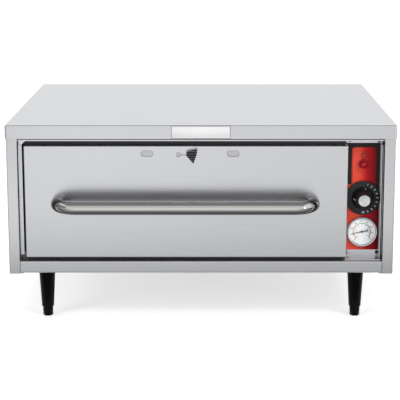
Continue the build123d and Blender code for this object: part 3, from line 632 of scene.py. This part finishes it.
def low_glow(tree, place):
    """Strength of the low card, which darkens towards the object and to both sides."""
    x, y, z = split(tree, place)
    stops = [(0.0, 0.14), (0.12, 0.40), (0.22, 0.66), (0.34, 0.90), (0.50, 1.0), (1.0, 1.0)]
    depth = ramp(tree, ranged(tree, y, -0.28, -2.4),
                 [(position, rgba([level] * 3)) for position, level in stops])
    slope = ranged(tree, x, -0.45, 0.45, 1.10, 0.92)
    side = ranged(tree, maths(tree, "ABSOLUTE", x), 0.52, 0.90, 1.0, 0.50, "SMOOTHSTEP")
    return maths(tree, "MULTIPLY", maths(tree, "MULTIPLY", depth, slope), side)


def card_surface(name, tone):
    """Even glow of a studio card. The low card has no tone of its own."""
    tree, shader, place = start_finish(name, Specular_IOR_Level=0.0, Base_Color=(0, 0, 0, 1),
                                       Emission_Color=WHITE)
    FINISHES[name].cycles.emission_sampling = "NONE"
    feed(tree, shader, {"Emission Strength": low_glow(tree, place) if tone is None else tone})


# ---------------------------------------------------------------- properties
def colour_property(name, description, *default):
    """Colour that a user would change."""
    return FloatVectorProperty(name=name, description=description, subtype="COLOR",
                               default=default, min=0, max=1)


def length_property(name, description, default):
    """Length that a user would change, from millimetres."""
    return FloatProperty(name=name, description=description, default=default * MM, unit="LENGTH")


class WarmerColours(bpy.types.PropertyGroup):
    """Colours that a user would change."""

    steel: colour_property("Steel", "Brushed stainless sheet", 0.685, 0.695, 0.715)
    # The label's three colours carry painted shade: from the left edge they darken to the right
    # edge.
    label_left: colour_property("Label left", "Label film at its left edge", 1.0, 0.10, 0.06)
    label_middle: colour_property("Label middle", "Label film at its middle", 0.60, 0.010, 0.015)
    label_right: colour_property("Label right", "Label film at its right edge",
                                 0.13, 0.0005, 0.005)
    print_black: colour_property("Print black", "Black print on the label", 0.018, 0.010, 0.012)
    black: colour_property("Black", "Knob cone and vent tab", 0.012, 0.012, 0.013)
    lens: colour_property("Lens", "Signal lamp", 0.36, 0.002, 0.008)
    dial: colour_property("Dial", "Thermometer face", 0.92, 0.93, 0.95)


class WarmerSizes(bpy.types.PropertyGroup):
    """Sizes that a user would change."""

    skirt_radius: length_property("Knob skirt radius", "Numbered skirt of the knob", 33.2)
    numerals: IntProperty(name="Knob numerals", description="Numbers round the skirt", default=10)
    numeral_size: length_property("Numeral size", "Height of the knob's figures", 6.6)
    bezel_radius: length_property("Bezel radius", "Chrome ring of the thermometer", 29.5)
    screw_head: length_property("Screw head radius", "Pan head screws", 3.4)
    lens_radius: length_property("Lens radius", "Dome of the signal lamp", 7.1)
    camera_lens: FloatProperty(name="Camera lens", description="Focal length of the camera",
                               default=115.48, unit="CAMERA")


# ---------------------------------------------------------------- operators
class WARMER_OT_finishes(bpy.types.Operator):
    """Makes every finish of the warming drawer"""

    bl_idname = "warmer.finishes"
    bl_label = "Make finishes"

    def execute(self, context):
        colours = context.scene.warmer_colours
        tube_z = (sum(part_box("handle"), Vector()) / 2).z
        brushed_steel("steel_wide", colours.steel, 0.25, streak=0.09)
        # Painted shade: a darker copy of the steel for the vent shutter, seen through the vent
        # holes.
        brushed_steel("steel_painted_shade", (0.57, 0.575, 0.585), 0.28, streak=0.05)
        brushed_steel("steel_upright", colours.steel, 0.26, streak=0.03, upright=True)
        brushed_steel("steel_pan", (0.66, 0.67, 0.68), 0.20, streak=0.03)
        # Handle steel with painted shade on the tube's back and underside.
        tube_steel("steel_tube", (0.60, 0.595, 0.575), (0.04, 0.04, 0.04), 0.075,
                   at(0, -50, 0).y, at(0, -37, 0).y, tube_z - 8 * MM, tube_z + 1 * MM)
        # Painted shade: a near-black copy of the steel for the opening frame, standing for the
        # shade inside the opening.
        brushed_steel("steel_recess_painted_shade", (0.07, 0.07, 0.075), 0.35)
        # Painted shadow: a dark copy of the steel for the lines round the vents and the keyhole.
        brushed_steel("steel_painted_shadow_line", (0.30, 0.305, 0.31), 0.35)
        moulded("plate_satin", (0.80, 0.80, 0.81), 0.38, mottle=0.04, relief=0.02)
        plated("plated_steel", (0.55, 0.57, 0.58), 0.36)
        plated("screw_steel", (0.70, 0.70, 0.71), 0.20, scale=900, contrast=0.1)
        # Painted shade: a dark copy of the screw steel for the panel screws on the right.
        plated("screw_painted_shade", (0.05, 0.05, 0.055), 0.30, scale=900, contrast=0.1)
        moulded("black_nylon", (0.02, 0.02, 0.021), 0.45)
        moulded("knob_black", colours.black, 0.16, relief=0.01, Specular_IOR_Level=0.35)
        moulded("skirt_black", (0.020, 0.021, 0.022), 0.36, relief=0.04, Specular_IOR_Level=0.30)
        moulded("leg_black", (0.002, 0.002, 0.002), 0.16, relief=0.01, Specular_IOR_Level=0.10)
        # Painted highlight: the grey ground between the black ridges stands for the glints between
        # them.
        moulded("tab_ground_painted_highlight", (0.20, 0.20, 0.205), 0.34, relief=0.03)
        moulded("tab_black", colours.black, 0.24, relief=0.05, Specular_IOR_Level=0.15)
        spun_aluminium("cap_aluminium", (0.74, 0.75, 0.76), CONTROL_X, 4.6, KNOB_Z)
        moulded("wheel_nylon", (0.72, 0.70, 0.64), 0.4, Subsurface_Weight=0.15,
                Subsurface_Scale=0.002)
        label_film("red_label", colours.label_left, colours.label_middle, colours.label_right)
        moulded("label_print", colours.print_black, 0.30, relief=0.01, Specular_IOR_Level=0.25)
        ink("symbol_ink", (0.03, 0.004, 0.004))
        ink("white_ink", (0.85, 0.86, 0.86))
        ink("dark_ink", (0.05, 0.05, 0.06))
        scale_ink("scale_ink", CONTROL_X, THERMOMETER_Z)
        moulded("red_lens", colours.lens, 0.08, mottle=0.05, relief=0.0)
        plated("bezel_chrome", (0.62, 0.63, 0.65), 0.20, scale=60, contrast=0.03)
        moulded("dial_face", colours.dial, 0.5, scale=1200, mottle=0.03, Specular_IOR_Level=0.2)
        clear_plastic("dial_glass", WHITE, 0.01)
        moulded("pointer_black", (0.03, 0.03, 0.035), 0.4)
        heated_sheath("element_sheath", (0.22, 0.19, 0.17), 0.42)
        heated_sheath("copper_tube", (0.72, 0.36, 0.22), 0.22)
        fibre_blanket("blanket", (0.78, 0.75, 0.66))
        moulded("moulded_base", (0.10, 0.07, 0.05), 0.45, mottle=0.3)
        # Near-black finish; the seam strips and the nameplate's frame use it as painted shade.
        moulded("hollow_dark", (0.01, 0.01, 0.01), 0.6)
        return {"FINISHED"}


class WARMER_OT_frame_finish(bpy.types.Operator):
    """Gives each CAD node of the frame its finish"""

    bl_idname = "warmer.frame_finish"
    bl_label = "Finish the frame"

    def execute(self, context):
        own = {
            "steel_upright": ("left_side_panel", "right_side_panel"),
            # Painted shade: the vent shutter takes a darker copy of the steel.
            "steel_pan": ("food_pan",), "steel_painted_shade": ("vent_shutter",),
            # Painted shade: the opening frame takes a near-black copy of the steel.
            "steel_tube": ("handle",), "steel_recess_painted_shade": ("opening_frame",),
            "leg_black": ("legs", "foot_front_left", "foot_front_right", "foot_rear_left",
                          "foot_rear_right"),
        }
        looks = {s["node"]: s["material_slot"] for s in frame["record"]["subparts"]}
        looks = {name: "steel_wide" if slot == "stainless" else slot
                 for name, slot in looks.items()}
        looks.update((name, look) for look, names in own.items() for name in names)
        for name, node in frame["nodes"].items():
            paint(node, looks[name])
        return {"FINISHED"}


class WARMER_OT_nameplate(bpy.types.Operator):
    """Bare plate on the lip, with a sunk line round its edge"""

    bl_idname = "warmer.nameplate"
    bl_label = "Nameplate"

    def execute(self, context):
        low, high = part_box("nameplate")
        x0, x1, z0, z1 = (v / MM for v in (low.x, high.x, low.z, high.z))
        front, edge = depth_of(low), 0.7
        plate = block("nameplate_bare", (x0 + edge, front, z0 + edge),
                      (x1 - edge, depth_of(high), z1 - edge), 0.2)
        pick(plate)
        mode("EDIT")
        bpy.ops.mesh.select_mode(type="FACE")
        bpy.ops.mesh.select_all(action="DESELECT")
        mode("OBJECT")
        face = min(plate.data.polygons, key=lambda f: (round(f.center.y, 6), -f.area))
        face.select = True
        mode("EDIT")
        for width, rise in ((0.9, 0.0), (0.15, -0.25), (0.5, 0.0), (0.15, 0.25)):
            bpy.ops.mesh.inset(thickness=width * MM, depth=rise * MM)
        mode("OBJECT")
        dress(plate, "plate_satin", "cabinet", "stainless", "nameplate")
        rim = flat_shape("nameplate_shadow_line",
                         [[(x0, z0), (x1, z0), (x1, z1), (x0, z1)],
                          [(x0 + edge, z0 + edge), (x0 + edge, z1 - edge),
                           (x1 - edge, z1 - edge), (x1 - edge, z0 + edge)]], front + 0.25, 0.5)
        dress(rim, "hollow_dark", "cabinet", "black_nylon")
        return {"FINISHED"}


class WARMER_OT_seams(bpy.types.Operator):
    """Painted shade: near-black strips in the gaps beside the opening and under the lip"""

    bl_idname = "warmer.seams"
    bl_label = "Seams"

    def execute(self, context):
        seams = {"seam_shadow_left": ((-345.45, 0.8, 127.0), (-345.15, 8.8, 357.0)),
                 "seam_shadow_lip": ((-345.0, -0.25, 361.2), (345.0, -0.05, 362.7)),
                 "seam_shadow_foot": ((342.4, 8.80, 127.0), (345.3, 8.98, 357.0)),
                 "seam_shadow_right": ((345.15, 0.8, 127.0), (345.45, 8.8, 357.0))}
        for name, (low, high) in seams.items():
            # Painted shade: each strip is a near-black block set where the gap is in shade.
            dress(block(name, low, high, 0.05), "hollow_dark", "cabinet", "stainless")
        return {"FINISHED"}


class WARMER_OT_vent_tab(bpy.types.Operator):
    """Ridged thumb tab of the vent shutter"""

    bl_idname = "warmer.vent_tab"
    bl_label = "Vent tab"

    def execute(self, context):
        tab_x, back, gap, pitch = -16.2, 3.7, 3.0, 4.4
        front = depth_of(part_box("vent_knob")[0])
        corners = [(-10.9, 7.4), (9.5, 11.6), (8.1, 0.9), (2.0, -15.8), (-11.3, -0.6)]
        outline = [(tab_x + x, VENT_SLOT_Z + z) for x, z in corners]
        tab = flat_shape("vent_tab", [outline], (front + 1.6 + back) / 2, back - front - 1.6)
        parts = []
        for row in range(6):
            top = VENT_SLOT_Z + 11.0 - pitch * row
            ridge = flat_shape(f"vent_ridge_{row}", [outline], front + 1.3, 2.6)
            pick(ridge)
            mode("EDIT")
            for cut_z, keep_low in ((top, True), (top - gap, False)):
                bpy.ops.mesh.select_all(action="SELECT")
                bpy.ops.mesh.bisect(plane_co=at(tab_x, 0, cut_z), plane_no=(0, 0, 1),
                                    use_fill=True, clear_outer=keep_low,
                                    clear_inner=not keep_low)
            mode("OBJECT")
            if len(ridge.data.polygons) > 3:
                soft = ridge.modifiers.new("Soft", "BEVEL")
                soft.width = 0.5 * MM
                soft.segments = 3
                soft.limit_method = "ANGLE"
                apply_modifiers(ridge)
                parts.append(settle(ridge))
            else:
                bpy.data.objects.remove(ridge)
        parts.append(block("vent_stem", (tab_x - 2.4, 3.2, VENT_SLOT_Z - 1.2),
                           (tab_x + 2.2, 5.7, VENT_SLOT_Z + 1.2), 0.2))
        for part in parts:
            paint(part, "tab_black")
        # Painted highlight: the tab's ground is grey between the black ridges.
        paint(tab, "tab_ground_painted_highlight")
        fit(joined("vent_tab", parts + [tab]), "vent", "knob_black", "vent_knob")
        return {"FINISHED"}


class WARMER_OT_vent_rims(bpy.types.Operator):
    """Painted shadow lines: thin dark rings round the two oval vents and the keyhole"""

    bl_idname = "warmer.vent_rims"
    bl_label = "Vent shadow rings"

    def execute(self, context):
        rims = {}
        for name, x in (("vent_shadow_ring_left", -101.6), ("vent_shadow_ring_right", 60.7)):
            rims[name] = [stadium(x, 333.9, 6.1, radius) for radius in (5.3 + 0.55, 5.3)]
        rims["keyhole_rim"] = [circle(-42.4, VENT_SLOT_Z, radius, 30)
                               for radius in (3.8 + 0.6, 3.8)]
        # Painted shadow: each ring lies on the drawer front round the edge of a hole.
        for name, (outer, inner) in rims.items():
            dress(flat_shape(name, [outer, inner[::-1]], 3.95, 0.2),
                  "steel_painted_shadow_line", "drawer", "stainless")
        return {"FINISHED"}


class WARMER_OT_label(bpy.types.Operator):
    """Black print, dots and power symbol on the label"""

    bl_idname = "warmer.label"
    bl_label = "Label print"

    def execute(self, context):
        left, right, top, foot_left, foot_right = 276.7, 342.3, 348.7, 268.0, 221.0
        field_left, field_right, field_top, corner = 288.3, 334.6, 340.2, 6.0
        bend = [(corner * math.cos(a), corner * math.sin(a))
                for a in (math.pi / 2 * i / 8 for i in range(9))]
        turn_left = [(field_left + corner - c, field_top - corner + s) for c, s in bend]
        turn_right = [(field_right - corner + s, field_top - corner + c) for c, s in bend]
        outline = ([(left, foot_left), (left, top), (right, top), (right, foot_right),
                    (field_right + 3.4, foot_right), (field_right, 232.0)]
                   + turn_right[::-1] + turn_left[::-1] + [(field_left, foot_left)])
        printed("label_arch", [outline], LABEL_SKIN, "label_print", "red_label")
        dots = []
        for row in range(15):
            x, z = field_left + 0.6, 333.0 - 4.4 * row
            dots.append([(x - 0.2, z - 1.1), (x + 1.5, z - 0.8),
                         (x + 1.5, z + 0.8), (x - 0.2, z + 1.1)])
        printed("label_dots", dots, LABEL_SKIN, "label_print", "red_label")
        x, z, radius, half_line = 312.0, 325.0, 5.7, 0.7
        symbol = [arc_band(radius - half_line, radius + half_line, 28, 332, x, z, 40),
                  bar(8.2, 1.5, 0.4, 0, x, z)]
        printed("power_symbol", symbol, LABEL_SKIN, "symbol_ink", "red_label")
        return {"FINISHED"}


class WARMER_OT_screws(bpy.types.Operator):
    """Cross-recessed screws of the panel and of the back"""

    bl_idname = "warmer.screws"
    bl_label = "Screws"

    def execute(self, context):
        head = context.scene.warmer_sizes.screw_head / MM
        back, cover_back, limit = (depth_of(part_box(name)[1])
                                   for name in ("back_panel", "top_cover", "rear_screws"))
        panel = [(x, 36.0, z) for z in (353.5, 134.0) for x in (284.0, 339.5)]
        rear = [(x, back, 132.5 + 75 * row) for x in (-354.5, 354.5) for row in range(4)]
        rear += [(x, cover_back, 375.8) for x in (-306.5, 0.0, 306.5)]
        rear = [(x, min(depth, limit - 2.25), z) for x, depth, z in rear]
        for name, places, facing in (("panel_screw", panel, -1), ("rear_screw", rear, 1)):
            for row, (x, depth, z) in enumerate(places):
                piece = screw(f"{name}_{row + 1}", x, depth, z, head, facing)
                # Painted shade: the panel screws right of the controls take a dark copy of the
                # screw steel.
                dark = facing == -1 and x > CONTROL_X
                dress(piece, "screw_painted_shade" if dark else "screw_steel", "cabinet", "screw_steel",
                      *([] if row else [name + "s"]))
        return {"FINISHED"}


class WARMER_OT_knob(bpy.types.Operator):
    """Thermostat knob: skirt, cone, cap, figures and marks"""

    bl_idname = "warmer.knob"
    bl_label = "Thermostat knob"

    def execute(self, context):
        sizes = context.scene.warmer_sizes
        x0, z0 = centre = (CONTROL_X, KNOB_Z)
        rim = sizes.skirt_radius / MM
        profile = [(rim - 0.8, 33.0), (rim, 32.6), (rim, 31.5), (rim - 0.4, 31.1),
                   (rim - 1.2, 31.0), (21.0, 31.0)]
        skirt = turned("knob_skirt", profile, centre, sides=128)
        dress(skirt, "skirt_black", "thermostat_knob", "knob_black", "knob")
        profile = [(21.5, 31.2), (21.5, 30.6), (20.6, 29.4), (20.0, 28.4), (18.2, 21.5),
                   (16.2, 14.5), (14.2, 7.6), (13.7, 6.4), (12.9, 5.7), (12.0, 5.5),
                   (11.5, 5.5), (11.3, 5.9)]
        cone = turned("knob_cone", profile, centre, sides=160)
        flutes, flute_depth = 20, 0.035
        for v in cone.data.vertices:
            if 6.0 < depth_of(v.co) < 29.0:
                x, z = v.co.x - x0 * MM, v.co.z - z0 * MM
                wave = max(0.0, math.cos(flutes * math.atan2(x, z))) ** 2
                v.co.x -= x * flute_depth * wave
                v.co.z -= z * flute_depth * wave
        dress(cone, "knob_black", "thermostat_knob", "knob_black")
        profile = [(11.0, 6.4), (11.05, 5.2), (10.8, 4.8), (10.3, 4.62), (9.9, 4.68),
                   (9.6, 4.75), (3.0, 4.75), (0.4, 4.75)]
        cap = turned("knob_cap_disc", profile, centre, sides=96)
        dress(cap, "cap_aluminium", "thermostat_knob", "cap_aluminium", "knob_cap")
        figures, first, step, radius = [], 19.0, 17.5, 27.8
        for number in range(1, sizes.numerals + 1):
            angle = first + step * (number - 1)
            x, z = around(radius, angle)
            figures.append(lettered(f"figure_{number}", str(number),
                                    0.82 * sizes.numeral_size / MM, x0 + x, 30.97, z0 + z,
                                    bold=0.10, turn=angle))
        dress(joined("knob_numerals", figures), "white_ink", "thermostat_knob", "knob_black")
        marks = [bar(3.4, 0.9, 15.4, 270, x0, z0, taper=2.2), bar(0.9, 1.8, 18.9, 12, x0, z0)]
        wedge = flat_shape("knob_marks", marks, 18.0, 1.0)
        for v in wedge.data.vertices:
            reach = math.hypot(v.co.x / MM - x0, v.co.z / MM - z0)
            surface = 28.6 - (20.1 - reach) / (20.1 - 13.9) * (28.6 - 6.6)
            v.co.y = FACE + (surface + (-1.3 if v.co.y < at(0, 18.0, 0).y else 0.6)) * MM
        dress(wedge, "white_ink", "thermostat_knob", "knob_black")
        return {"FINISHED"}


class WARMER_OT_lamp(bpy.types.Operator):
    """Red signal lamp with its flange"""

    bl_idname = "warmer.lamp"
    bl_label = "Signal lamp"

    def execute(self, context):
        dome, rise, foot = context.scene.warmer_sizes.lens_radius / MM, 6.0, 28.8
        profile = [(9.25, 35.4), (9.25, 34.6), (8.9, 34.0), (8.2, 33.7), (dome, 33.5),
                   (dome, foot)]
        profile += [(dome * math.cos(math.radians(a)), foot - rise * math.sin(math.radians(a)))
                    for a in (15, 30, 45, 60, 75, 86)]
        lens = turned("lamp_dome", profile, (CONTROL_X, LAMP_Z), sides=72)
        dress(lens, "red_lens", "cabinet", "red_lens", "lamp_lens")
        return {"FINISHED"}


class WARMER_OT_thermometer(bpy.types.Operator):
    """Dial thermometer: bezel, dial, scale, figures, pointer and glass"""

    bl_idname = "warmer.thermometer"
    bl_label = "Thermometer"

    def execute(self, context):
        rim = context.scene.warmer_sizes.bezel_radius / MM
        x0, z0 = centre = (CONTROL_X, THERMOMETER_Z)
        profile = [(rim, 35.4), (rim, 31.4), (rim - 0.3, 30.3), (rim - 1.0, 29.6),
                   (rim - 1.7, 29.55), (rim - 2.4, 29.9), (rim - 3.2, 30.9), (rim - 3.9, 32.2),
                   (rim - 4.2, 33.4), (rim - 4.3, 35.4), (rim, 35.4)]
        bezel = turned("thermometer_bezel", profile, centre, sides=120, ring=True)
        dress(bezel, "bezel_chrome", "cabinet", "bezel_chrome")
        profile = [(26.6, 34.5), (26.6, 34.05), (26.4, 34.0), (4.0, 34.0), (0.4, 34.0)]
        dial = turned("thermometer_face", profile, centre, sides=96)
        dress(dial, "dial_face", "cabinet", "dial_face", "thermometer_dial")
        printed("thermometer_band", [arc_band(15.5, 17.2, -140, 130, x0, z0, 64)],
                DIAL_SKIN, "scale_ink", "dial_face")
        ticks = [bar(*((1.9, 0.5) if row % 5 == 0 else (1.0, 0.3)), 22.9, -140 + 6.75 * row,
                     x0, z0) for row in range(41)]
        ticks += [bar(1.0, 0.28, 14.3, -140 + 13.5 * row, x0, z0) for row in range(21)]
        printed("thermometer_ticks", ticks, DIAL_SKIN, "dark_ink", "dial_face")
        figures = []
        rings = (("outer", 20.0, 80, 20, 2.9, 0.06), ("inner", 11.9, 30, 10, 2.4, 0.05))
        for row in range(9):
            for ring, radius, first, step, size, bold in rings:
                x, z = around(radius, -140 + 33.75 * row)
                figures.append(lettered(f"{ring}_{row}", str(first + step * row), size, x0 + x,
                                        DIAL_SKIN, z0 + z, bold=bold))
        dress(joined("thermometer_numbers", figures), "dark_ink", "cabinet", "dial_face")
        rest = 90 - 192.3
        tip = bar(19.0, 1.7, 1.4, rest, x0, z0, taper=0.45)
        tail = bar(9.6, 1.8, 2.6, rest + 180, x0, z0, taper=1.9)
        links = [bar(3.4, 0.9, 0.0, rest, x0, z0), bar(3.4, 0.9, 0.0, rest + 180, x0, z0)]
        needle = joined("thermometer_needle", [
            flat_shape("pointer_tip", [tip], 32.6, 0.4),
            flat_shape("pointer_tail", [tail], 32.6, 0.4),
            flat_shape("pointer_hub", [circle(x0, z0, 2.3, 24)], 32.55, 0.6),
            flat_shape("pointer_link", links, 32.6, 0.36)])
        dress(needle, "pointer_black", "pointer", "pointer_black", "thermometer_pointer")
        profile = [(26.4, 31.7), (26.4, 31.0), (26.0, 30.7), (10.0, 30.7), (0.4, 30.7)]
        glass = turned("thermometer_glass", profile, centre, sides=96)
        glass.visible_shadow = False
        dress(glass, "dial_glass", "cabinet", "dial_glass", "thermometer_lens")
        return {"FINISHED"}


class WARMER_OT_stage(bpy.types.Operator):
    """Floor, white surround, lamps, glowing reflection cards and the camera"""

    bl_idname = "warmer.stage"
    bl_label = "Stage"

    def execute(self, context):
        scene = context.scene
        scene.view_settings.view_transform = "Standard"
        world = bpy.data.worlds.new("Surround")
        scene.world = world
        world.use_nodes = True
        tree = world.node_tree
        tree.nodes.clear()
        rays = tree.nodes.new("ShaderNodeLightPath").outputs
        seen = maths(tree, "MAXIMUM", rays["Is Camera Ray"], rays["Is Glossy Ray"])
        seen = maths(tree, "MAXIMUM", seen, rays["Is Transmission Ray"])
        ambient, white = (add_node(tree, "ShaderNodeBackground", {"Color": WHITE, "Strength": s})
                          for s in (0.6, 1.0))
        mix = add_node(tree, "ShaderNodeMixShader",
                       {0: seen, 1: ambient.outputs[0], 2: white.outputs[0]})
        feed(tree, tree.nodes.new("ShaderNodeOutputWorld"), {"Surface": mix.outputs[0]})

        deselect()
        bpy.ops.mesh.primitive_plane_add(size=24, location=(0, 0, -0.0002))
        floor = settle(fresh("floor"))
        tree, shader, place = start_finish("pale_floor", Roughness=0.9, Emission_Color=WHITE)
        cloud = noise(tree, place, 1.5, 2.0)
        rays = tree.nodes.new("ShaderNodeLightPath").outputs
        mirrored = maths(tree, "MAXIMUM", rays["Is Glossy Ray"], rays["Is Transmission Ray"])
        glow = plus_part(tree, maths(tree, "MULTIPLY", rays["Is Camera Ray"], 0.5),
                         mirrored, 0.15)
        feed(tree, shader, {"Base Color": ranged(tree, cloud, 0.0, 1.0, 0.80, 0.82),
                            "Emission Strength": glow})
        paint(floor, "pale_floor")

        cards = [("card_front", (0, -3.31, 2.98), (8.0, 0.01, 3.08), 0.70),
                 ("card_over", (0, -1.80, 4.52), (8.0, 3.02, 0.01), 0.26),
                 ("card_behind", (0, 0.77, 4.52), (8.0, 2.16, 0.01), 0.30),
                 ("card_left", (-2.9, -1.2, 1.0), (0.01, 3.0, 2.0), 0.30),
                 ("card_low", (0, -1.64, 0.001), (5.0, 2.72, 0.001), None)]
        for name, middle, size, tone in cards:
            deselect()
            bpy.ops.mesh.primitive_cube_add(size=1, location=middle)
            card = fresh(name)
            card.scale = size
            settle(card)
            card_surface(name, tone)
            paint(card, name)
            for ray in ("camera", "shadow", "diffuse", "transmission"):
                setattr(card, "visible_" + ray, False)

        def placed(name, data, place):
            holder = bpy.data.objects.new(name, data)
            scene.collection.objects.link(holder)
            holder.location = place
            return holder

        target = Vector((0.0, -0.1, 0.2))
        lamps = [("key", (1.9, -2.2, 2.3), (0.6, 0.6), 27.0, False),
                 ("fill", (-2.3, -2.1, 1.4), (1.2, 1.2), 30.0, False),
                 ("top", (0.0, 0.2, 2.8), (1.6, 1.6), 18.0, False),
                 ("strip", (2.6, -2.4, 0.55), (0.22, 1.1), 14.0, True)]
        for name, place, size, power, mirrored in lamps:
            lamp = bpy.data.lights.new(name, "AREA")
            lamp.shape = "RECTANGLE"
            lamp.size, lamp.size_y = size
            lamp.energy = power
            holder = placed(name, lamp, place)
            holder.visible_glossy = mirrored
            aim = target - Vector(place)
            holder.rotation_euler = aim.to_track_quat("-Z", "Y").to_euler()

        camera = bpy.data.cameras.new("Camera")
        camera.sensor_width = 36.0
        camera.lens = scene.warmer_sizes.camera_lens
        camera.shift_x, camera.shift_y = -0.023, -0.12
        camera.clip_end = 100.0
        scene.camera = placed("Camera", camera, at(15.567, -2369.1, 786.8))
        looking_down = 10.73
        scene.camera.rotation_euler = (math.radians(90 - looking_down), 0, 0)
        return {"FINISHED"}


class WARMER_PT_panel(bpy.types.Panel):
    """Lists the steps that build the looks"""

    bl_idname = "WARMER_PT_panel"
    bl_label = "Warming Drawer"
    bl_space_type = "VIEW_3D"
    bl_region_type = "UI"
    bl_category = "Warming Drawer"

    def draw(self, context):
        column = self.layout.column()
        for step in STEPS:
            column.operator(step.bl_idname)
        for group in (context.scene.warmer_sizes, context.scene.warmer_colours):
            box = self.layout.box()
            for key in group.__annotations__:
                box.prop(group, key)


STEPS = (WARMER_OT_finishes, WARMER_OT_frame_finish, WARMER_OT_nameplate, WARMER_OT_seams,
         WARMER_OT_vent_tab, WARMER_OT_vent_rims, WARMER_OT_label, WARMER_OT_screws,
         WARMER_OT_knob, WARMER_OT_lamp, WARMER_OT_thermometer, WARMER_OT_stage)
CLASSES = (WarmerColours, WarmerSizes) + STEPS + (WARMER_PT_panel,)


def register():
    for item in CLASSES:
        bpy.utils.register_class(item)
    bpy.types.Scene.warmer_colours = PointerProperty(type=WarmerColours)
    bpy.types.Scene.warmer_sizes = PointerProperty(type=WarmerSizes)


def unregister():
    del bpy.types.Scene.warmer_sizes
    del bpy.types.Scene.warmer_colours
    for item in reversed(CLASSES):
        bpy.utils.unregister_class(item)


def main():
    register()
    for step in STEPS:
        family, action = step.bl_idname.split(".")
        getattr(getattr(bpy.ops, family), action)()
    deselect()


if __name__ == "__main__":
    main()
